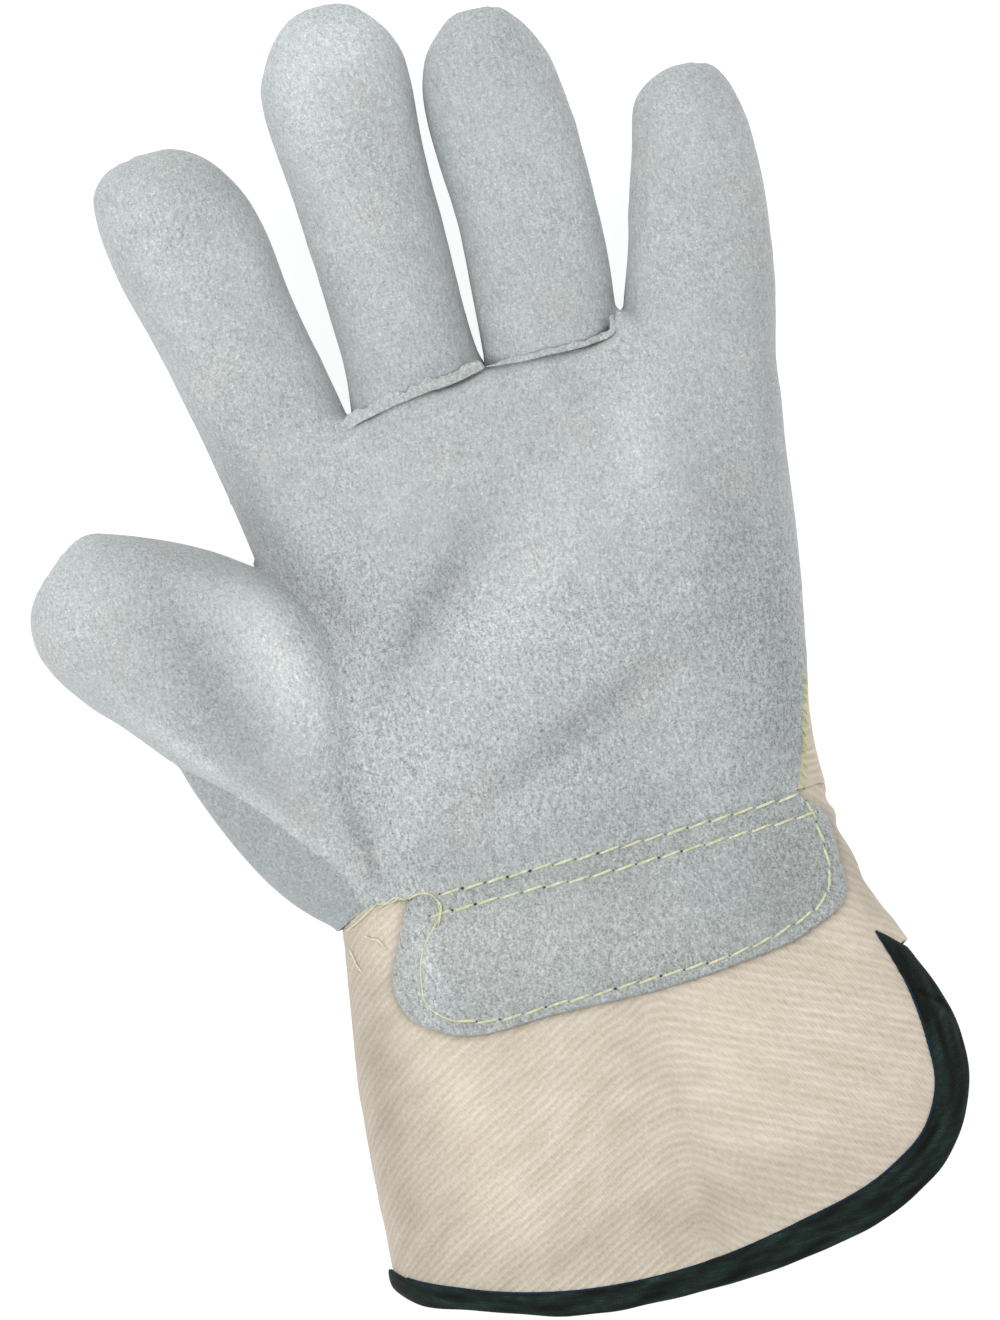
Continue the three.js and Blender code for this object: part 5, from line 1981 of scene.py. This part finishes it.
@dataclass
class StitchRow:
    """A row of lockstitches: short arched lengths of thread with a needle hole at each end."""

    name: str
    line: Array
    pitch: float = 5.05
    gap: float = 0.4
    radius: float = 0.31
    hole: float = 0.44
    hole_depth: float = 0.3
    slant: float = 0.24
    wander: float = 0.09
    stations: int = 7
    finish: Suede = THREAD

    def build(self, height: Callable[[Array, Array], Array]) -> None:
        """Builds the threads and the holes on a surface.

        Args:
            height: gives the surface's height at places in plan.
        """
        way = way_along(self.line)
        count = max(1, int(round(way[-1] / self.pitch)))
        stops = np.linspace(0, way[-1], count + 1)
        draw = np.random.default_rng(len(self.name))
        start, finish = stops[:-1] + self.gap / 2, stops[1:] - self.gap / 2
        share = np.linspace(0, 1, self.stations)
        plan = at_ways(self.line, way, start[:, None] + (finish - start)[:, None] * share)
        plan = plan + draw.normal(0, self.wander, (count, 1, 2))
        way_on = plan[:, -1] - plan[:, 0]
        aside = np.stack([-way_on[:, 1], way_on[:, 0]], -1) / np.linalg.norm(way_on, axis=1)[:, None]
        plan = plan + aside[:, None] * (self.slant * (share - 0.5) * 2)[:, None]
        arch = np.sin(math.pi * share)
        rise = height(plan[..., 0], plan[..., 1]) - 0.24 + 0.42 * arch ** 0.5
        piece = thread_mesh(self.name, np.concatenate([plan, rise[..., None]], -1), self.radius,
                            0.55 + 0.45 * arch ** 0.4)
        dress(piece, self.finish.material(), None)
        at = at_ways(self.line, way, stops)
        sizes = self.hole * draw.uniform(0.3, 1.0, count + 1) * (1 - 0.45 * ramp(at[:, 0], 14, 30))
        self.holes(at, height(at[:, 0], at[:, 1]), sizes)

    def holes(self, plan: Array, base: Array, sizes: Array) -> None:
        """Builds the needle holes as shallow lenses let into the surface, dark with painted shade.

        Args:
            plan: the holes' places.
            base: the surface's height at each.
            sizes: each hole's half width.
        """
        sides = 10
        share = np.array([1.0, 0.8, 0.5, 0.15])
        rings = 2 * len(share)
        angle = np.linspace(0, 2 * math.pi, sides, endpoint=False)
        circle = np.stack([np.cos(angle), 0.8 * np.sin(angle)], -1)
        disc = plan[:, None, None, :] + sizes[:, None, None, None] * share[:, None, None] * circle
        top = base[:, None, None] + 0.06 + 0.07 * (1 - share[:, None] ** 2) + 0 * angle
        points = np.concatenate([disc, top[..., None]], -1)
        below = points - (0, 0, self.hole_depth)
        both = np.concatenate([below[:, ::-1], points], axis=1).reshape(-1, 3)
        faces = grid_faces(rings, sides, True)
        caps = np.stack([np.arange(sides)[::-1], (rings - 1) * sides + np.arange(sides)])
        step = (rings * sides * np.arange(len(plan)))[:, None, None]
        piece = new_mesh(self.name + "_holes", both, [
            (faces + step).reshape(-1, 4), (caps + step).reshape(-1, sides)])
        dress(piece, HOLE_SHADE.material(), None)


def thread_mesh(name: str, paths: Array, radius: float, swell: Array) -> Piece:
    """Round threads along paths, closed at both ends.

    Args:
        name: the object's name.
        paths: threads, stations, three columns.
        radius: half the thread's thickness.
        swell: share of the radius at each station.

    Returns:
        The object.
    """
    threads, stations, _ = paths.shape
    sides = 8
    run = np.gradient(paths, axis=1)
    run /= np.linalg.norm(run, axis=2)[..., None]
    side = np.cross(run, (0.0, 0.0, 1.0))
    side /= np.maximum(np.linalg.norm(side, axis=2), 1e-6)[..., None]
    up = np.cross(side, run)
    angle = np.linspace(0, 2 * math.pi, sides, endpoint=False)[:, None]
    ring = side[:, :, None] * np.cos(angle) + up[:, :, None] * np.sin(angle)
    body = paths[:, :, None] + ring * radius * np.broadcast_to(swell, paths.shape[:2])[..., None, None]
    tip = 0.5 * radius
    tips = np.stack([paths[:, 0] - run[:, 0] * tip, paths[:, -1] + run[:, -1] * tip], 1)
    points = np.concatenate([body.reshape(threads, -1, 3), tips], axis=1)
    step = (points.shape[1] * np.arange(threads))[:, None, None]
    faces = [(part[:, ::-1] + step).reshape(-1, part.shape[1]) for part in capped_faces(stations, sides)]
    return new_mesh(name, points.reshape(-1, 3), faces)


@dataclass
class Sewing:
    """All the thread that shows: the patch's rows, the palm's outer edge and the strands at the wrist."""

    hand: Hand
    cuff: Cuff
    patch: Patch

    def on_leather(self, x: Array, y: Array) -> Array:
        """Height of the patch or of the palm, whichever side of the wrist seam a place is on."""
        return np.where(y < wrist_seam(x), self.patch.surface_height(x, y), self.hand.height(x, y))

    def on_canvas(self, x: Array, y: Array) -> Array:
        """Height of the cuff or of the hand, whichever side of the wrist seam a place is on."""
        height = np.where(y < wrist_seam(x), self.cuff.height(x, y), self.hand.height(x, y))
        return np.maximum(height, SEAM_HEIGHT)

    def build(self) -> None:
        """Builds the rows and the loose strands."""
        StitchRow("stitches_upper_row", UPPER_ROW).build(self.on_leather)
        StitchRow("stitches_lower_row", LOWER_ROW).build(self.on_leather)
        StitchRow("stitches_patch_edge", EDGE_ROW[84:]).build(self.on_leather)
        StitchRow("stitches_palm_edge", SIDE_ROW, pitch=2.3, gap=0.15, radius=0.36, hole=0.2, slant=0.5,
                  finish=EDGE_THREAD).build(self.on_canvas)
        self.strands()

    def edge_thread(self) -> None:
        """Builds the thread that runs round the patch's left edge, dipping in and out of the leather."""
        line = EDGE_THREAD_LINE
        lift = 0.12 + 0.1 * np.sin(np.linspace(0, 16, len(line)))
        path = np.column_stack([line, self.patch.surface_height(line[:, 0], line[:, 1]) + lift])
        thread = thread_mesh("patch_edge_thread", path[None], 0.2, np.ones(len(line)))
        dress(thread, THREAD.material(), None)

    def strands(self) -> None:
        """Builds the loose ends and loops of thread where the thumb's leather meets the cuff."""
        routes = (
            ((-54.5, -6.3), (-51.0, -4.6), (-48.0, -2.8), (-46.2, -1.7)),
            ((-46.3, -1.6), (-45.0, -1.9), (-43.0, -2.0), (-41.0, -1.3)),
            ((-46.0, -2.6), (-44.2, -2.0), (-42.0, -1.2), (-39.5, -2.4)),
            ((-39.8, -2.3), (-37.5, -1.5), (-35.0, -1.8), (-33.6, -3.0)),
            ((-33.8, -2.9), (-32.9, -4.8), (-33.4, -6.8), (-34.4, -9.0)),
            ((-50.5, -7.5), (-49.0, -8.6), (-47.6, -9.2), (-46.2, -11.6)),
            ((-54.0, -9.5), (-53.5, -11.5), (-53.1, -13.5), (-52.4, -15.2)),
        )
        stations = 16
        paths = []
        for route in routes:
            plan = smooth_line(np.array(route), stations)
            lift = 0.25 + 0.25 * np.sin(np.linspace(0, math.pi, stations))
            paths.append(np.column_stack([plan, self.top_of_all(plan[:, 0], plan[:, 1]) + lift]))
        self.edge_thread()
        taper = np.clip(np.sin(np.linspace(0.12, math.pi - 0.12, stations)) * 2, 0.3, 1)
        piece = thread_mesh("loose_strands", np.array(paths), 0.22, taper)
        dress(piece, THREAD.material(), None)

    def top_of_all(self, x: Array, y: Array) -> Array:
        """Height of whatever lies uppermost at a place by the wrist."""
        over = inside(np.stack([x, y], axis=-1), PATCH_LINE)
        return np.where(over, self.patch.surface_height(x, y), self.on_canvas(x, y))


@dataclass(frozen=True)
class Studio:
    """The pale floor, the soft lights, and the camera that looks straight down as the photograph does."""

    distance: float = 5.0
    sensor: float = 36.0
    glow: float = 0.86
    air: float = 0.75
    key_power: float = 10.5
    fill_power: float = 8.5
    floor_side: float = 3000.0

    def build(self) -> None:
        """Builds the floor, the lights, the surroundings and the camera."""
        self.floor()
        self.lamp("key_light", (-0.9, 0.1, 1.2), 0.9, self.key_power)
        self.lamp("fill_light", (0.7, 0.5, 1.5), 1.6, self.fill_power)
        world = bpy.data.worlds.new("studio_air")
        world.use_nodes = True
        backdrop = world.node_tree.nodes["Background"].inputs
        backdrop["Color"].default_value = (1.0, 1.0, 1.0, 1.0)
        backdrop["Strength"].default_value = self.air
        scene = bpy.context.scene
        scene.world = world
        scene.view_settings.view_transform = "Standard"
        scene.view_settings.look = "None"
        scene.camera = self.camera()

    def floor(self) -> None:
        """Builds a wide, very gently uneven white table top, lit from within as a light table is."""
        count = 60
        side = np.linspace(-self.floor_side / 2, self.floor_side / 2, count)
        x, y = np.meshgrid(side, side, indexing="ij")
        z = -0.15 - 0.1 * (1 + soft_noise(x, y, 900, 5)) * ramp(np.hypot(x, y), 300, 900)
        points = np.stack([x, y, z], axis=-1).reshape(-1, 3)
        table = new_mesh("floor", points, [grid_faces(count, count, False)[:, ::-1]])
        material, tree = empty_material("white_floor")
        cloud = noise_at(tree, add_node(tree, "TexCoord").outputs["Object"], 0.4, 1.0)
        colour = blend_colours(tree, cloud, (0.24, 0.24, 0.24, 1), (0.27, 0.27, 0.27, 1))
        shader = add_node(tree, "BsdfPrincipled", Base_Color=colour, Roughness=0.9,
                          Emission_Color=(1.0, 1.0, 1.0, 1.0), Emission_Strength=self.glow)
        add_node(tree, "OutputMaterial", Surface=shader.outputs[0])
        table.data.materials.append(material)

    def lamp(self, name: str, place: tuple[float, float, float], size: float, power: float) -> None:
        """Adds a square soft light that faces the glove.

        Args:
            name: the light's name.
            place: where it hangs, in metres.
            size: length of its side.
            power: its power in watts.
        """
        data = bpy.data.lights.new(name, "AREA")
        data.size, data.energy = size, power
        lamp = bpy.data.objects.new(name, data)
        lamp.location = place
        lamp.rotation_euler = (-Vector(place)).to_track_quat("-Z", "Y").to_euler()
        bpy.context.scene.collection.objects.link(lamp)

    def camera(self) -> Piece:
        """Adds the camera over the middle of the photograph, turned by the hand's lean in it.

        Returns:
            The camera.
        """
        lean = math.radians(HAND_LEAN)
        across = (PHOTO_WIDTH / 2 - WRIST_PIXEL[0]) / PIXELS_PER_MM
        along = (WRIST_PIXEL[1] - PHOTO_HEIGHT / 2) / PIXELS_PER_MM
        x = across * math.cos(lean) + along * math.sin(lean)
        y = -across * math.sin(lean) + along * math.cos(lean)
        data = bpy.data.cameras.new("camera")
        data.sensor_width = self.sensor
        data.lens = self.sensor * self.distance / (PHOTO_HEIGHT / PIXELS_PER_MM * MM)
        data.clip_end = 20.0
        camera = bpy.data.objects.new("camera", data)
        camera.location = to_frame(np.array([x, y, SEAM_HEIGHT + self.distance / MM]))
        camera.rotation_euler = (0.0, 0.0, -lean)
        bpy.context.scene.collection.objects.link(camera)
        return camera


def main() -> None:
    logging.basicConfig(level=logging.INFO, format="%(name)s: %(message)s")
    hand = Hand()
    hand.build()
    cuff = Cuff()
    cuff.build()
    patch = Patch(cuff, hand)
    patch.build()
    Welt("welt_middle", "middle_welt", MIDDLE_STRIP_LINE, hand, width=2.5, squareness=3.2, growth=0.5,
         uneven=0.16, seed=41).build()
    Welt("welt_ring", "ring_welt", RING_STRIP_LINE, hand, width=1.35, squareness=2.4, growth=8.0,
         uneven=0.12, seed=43).build()
    Sewing(hand, cuff, patch).build()
    Studio().build()


if __name__ == "__main__":
    main()
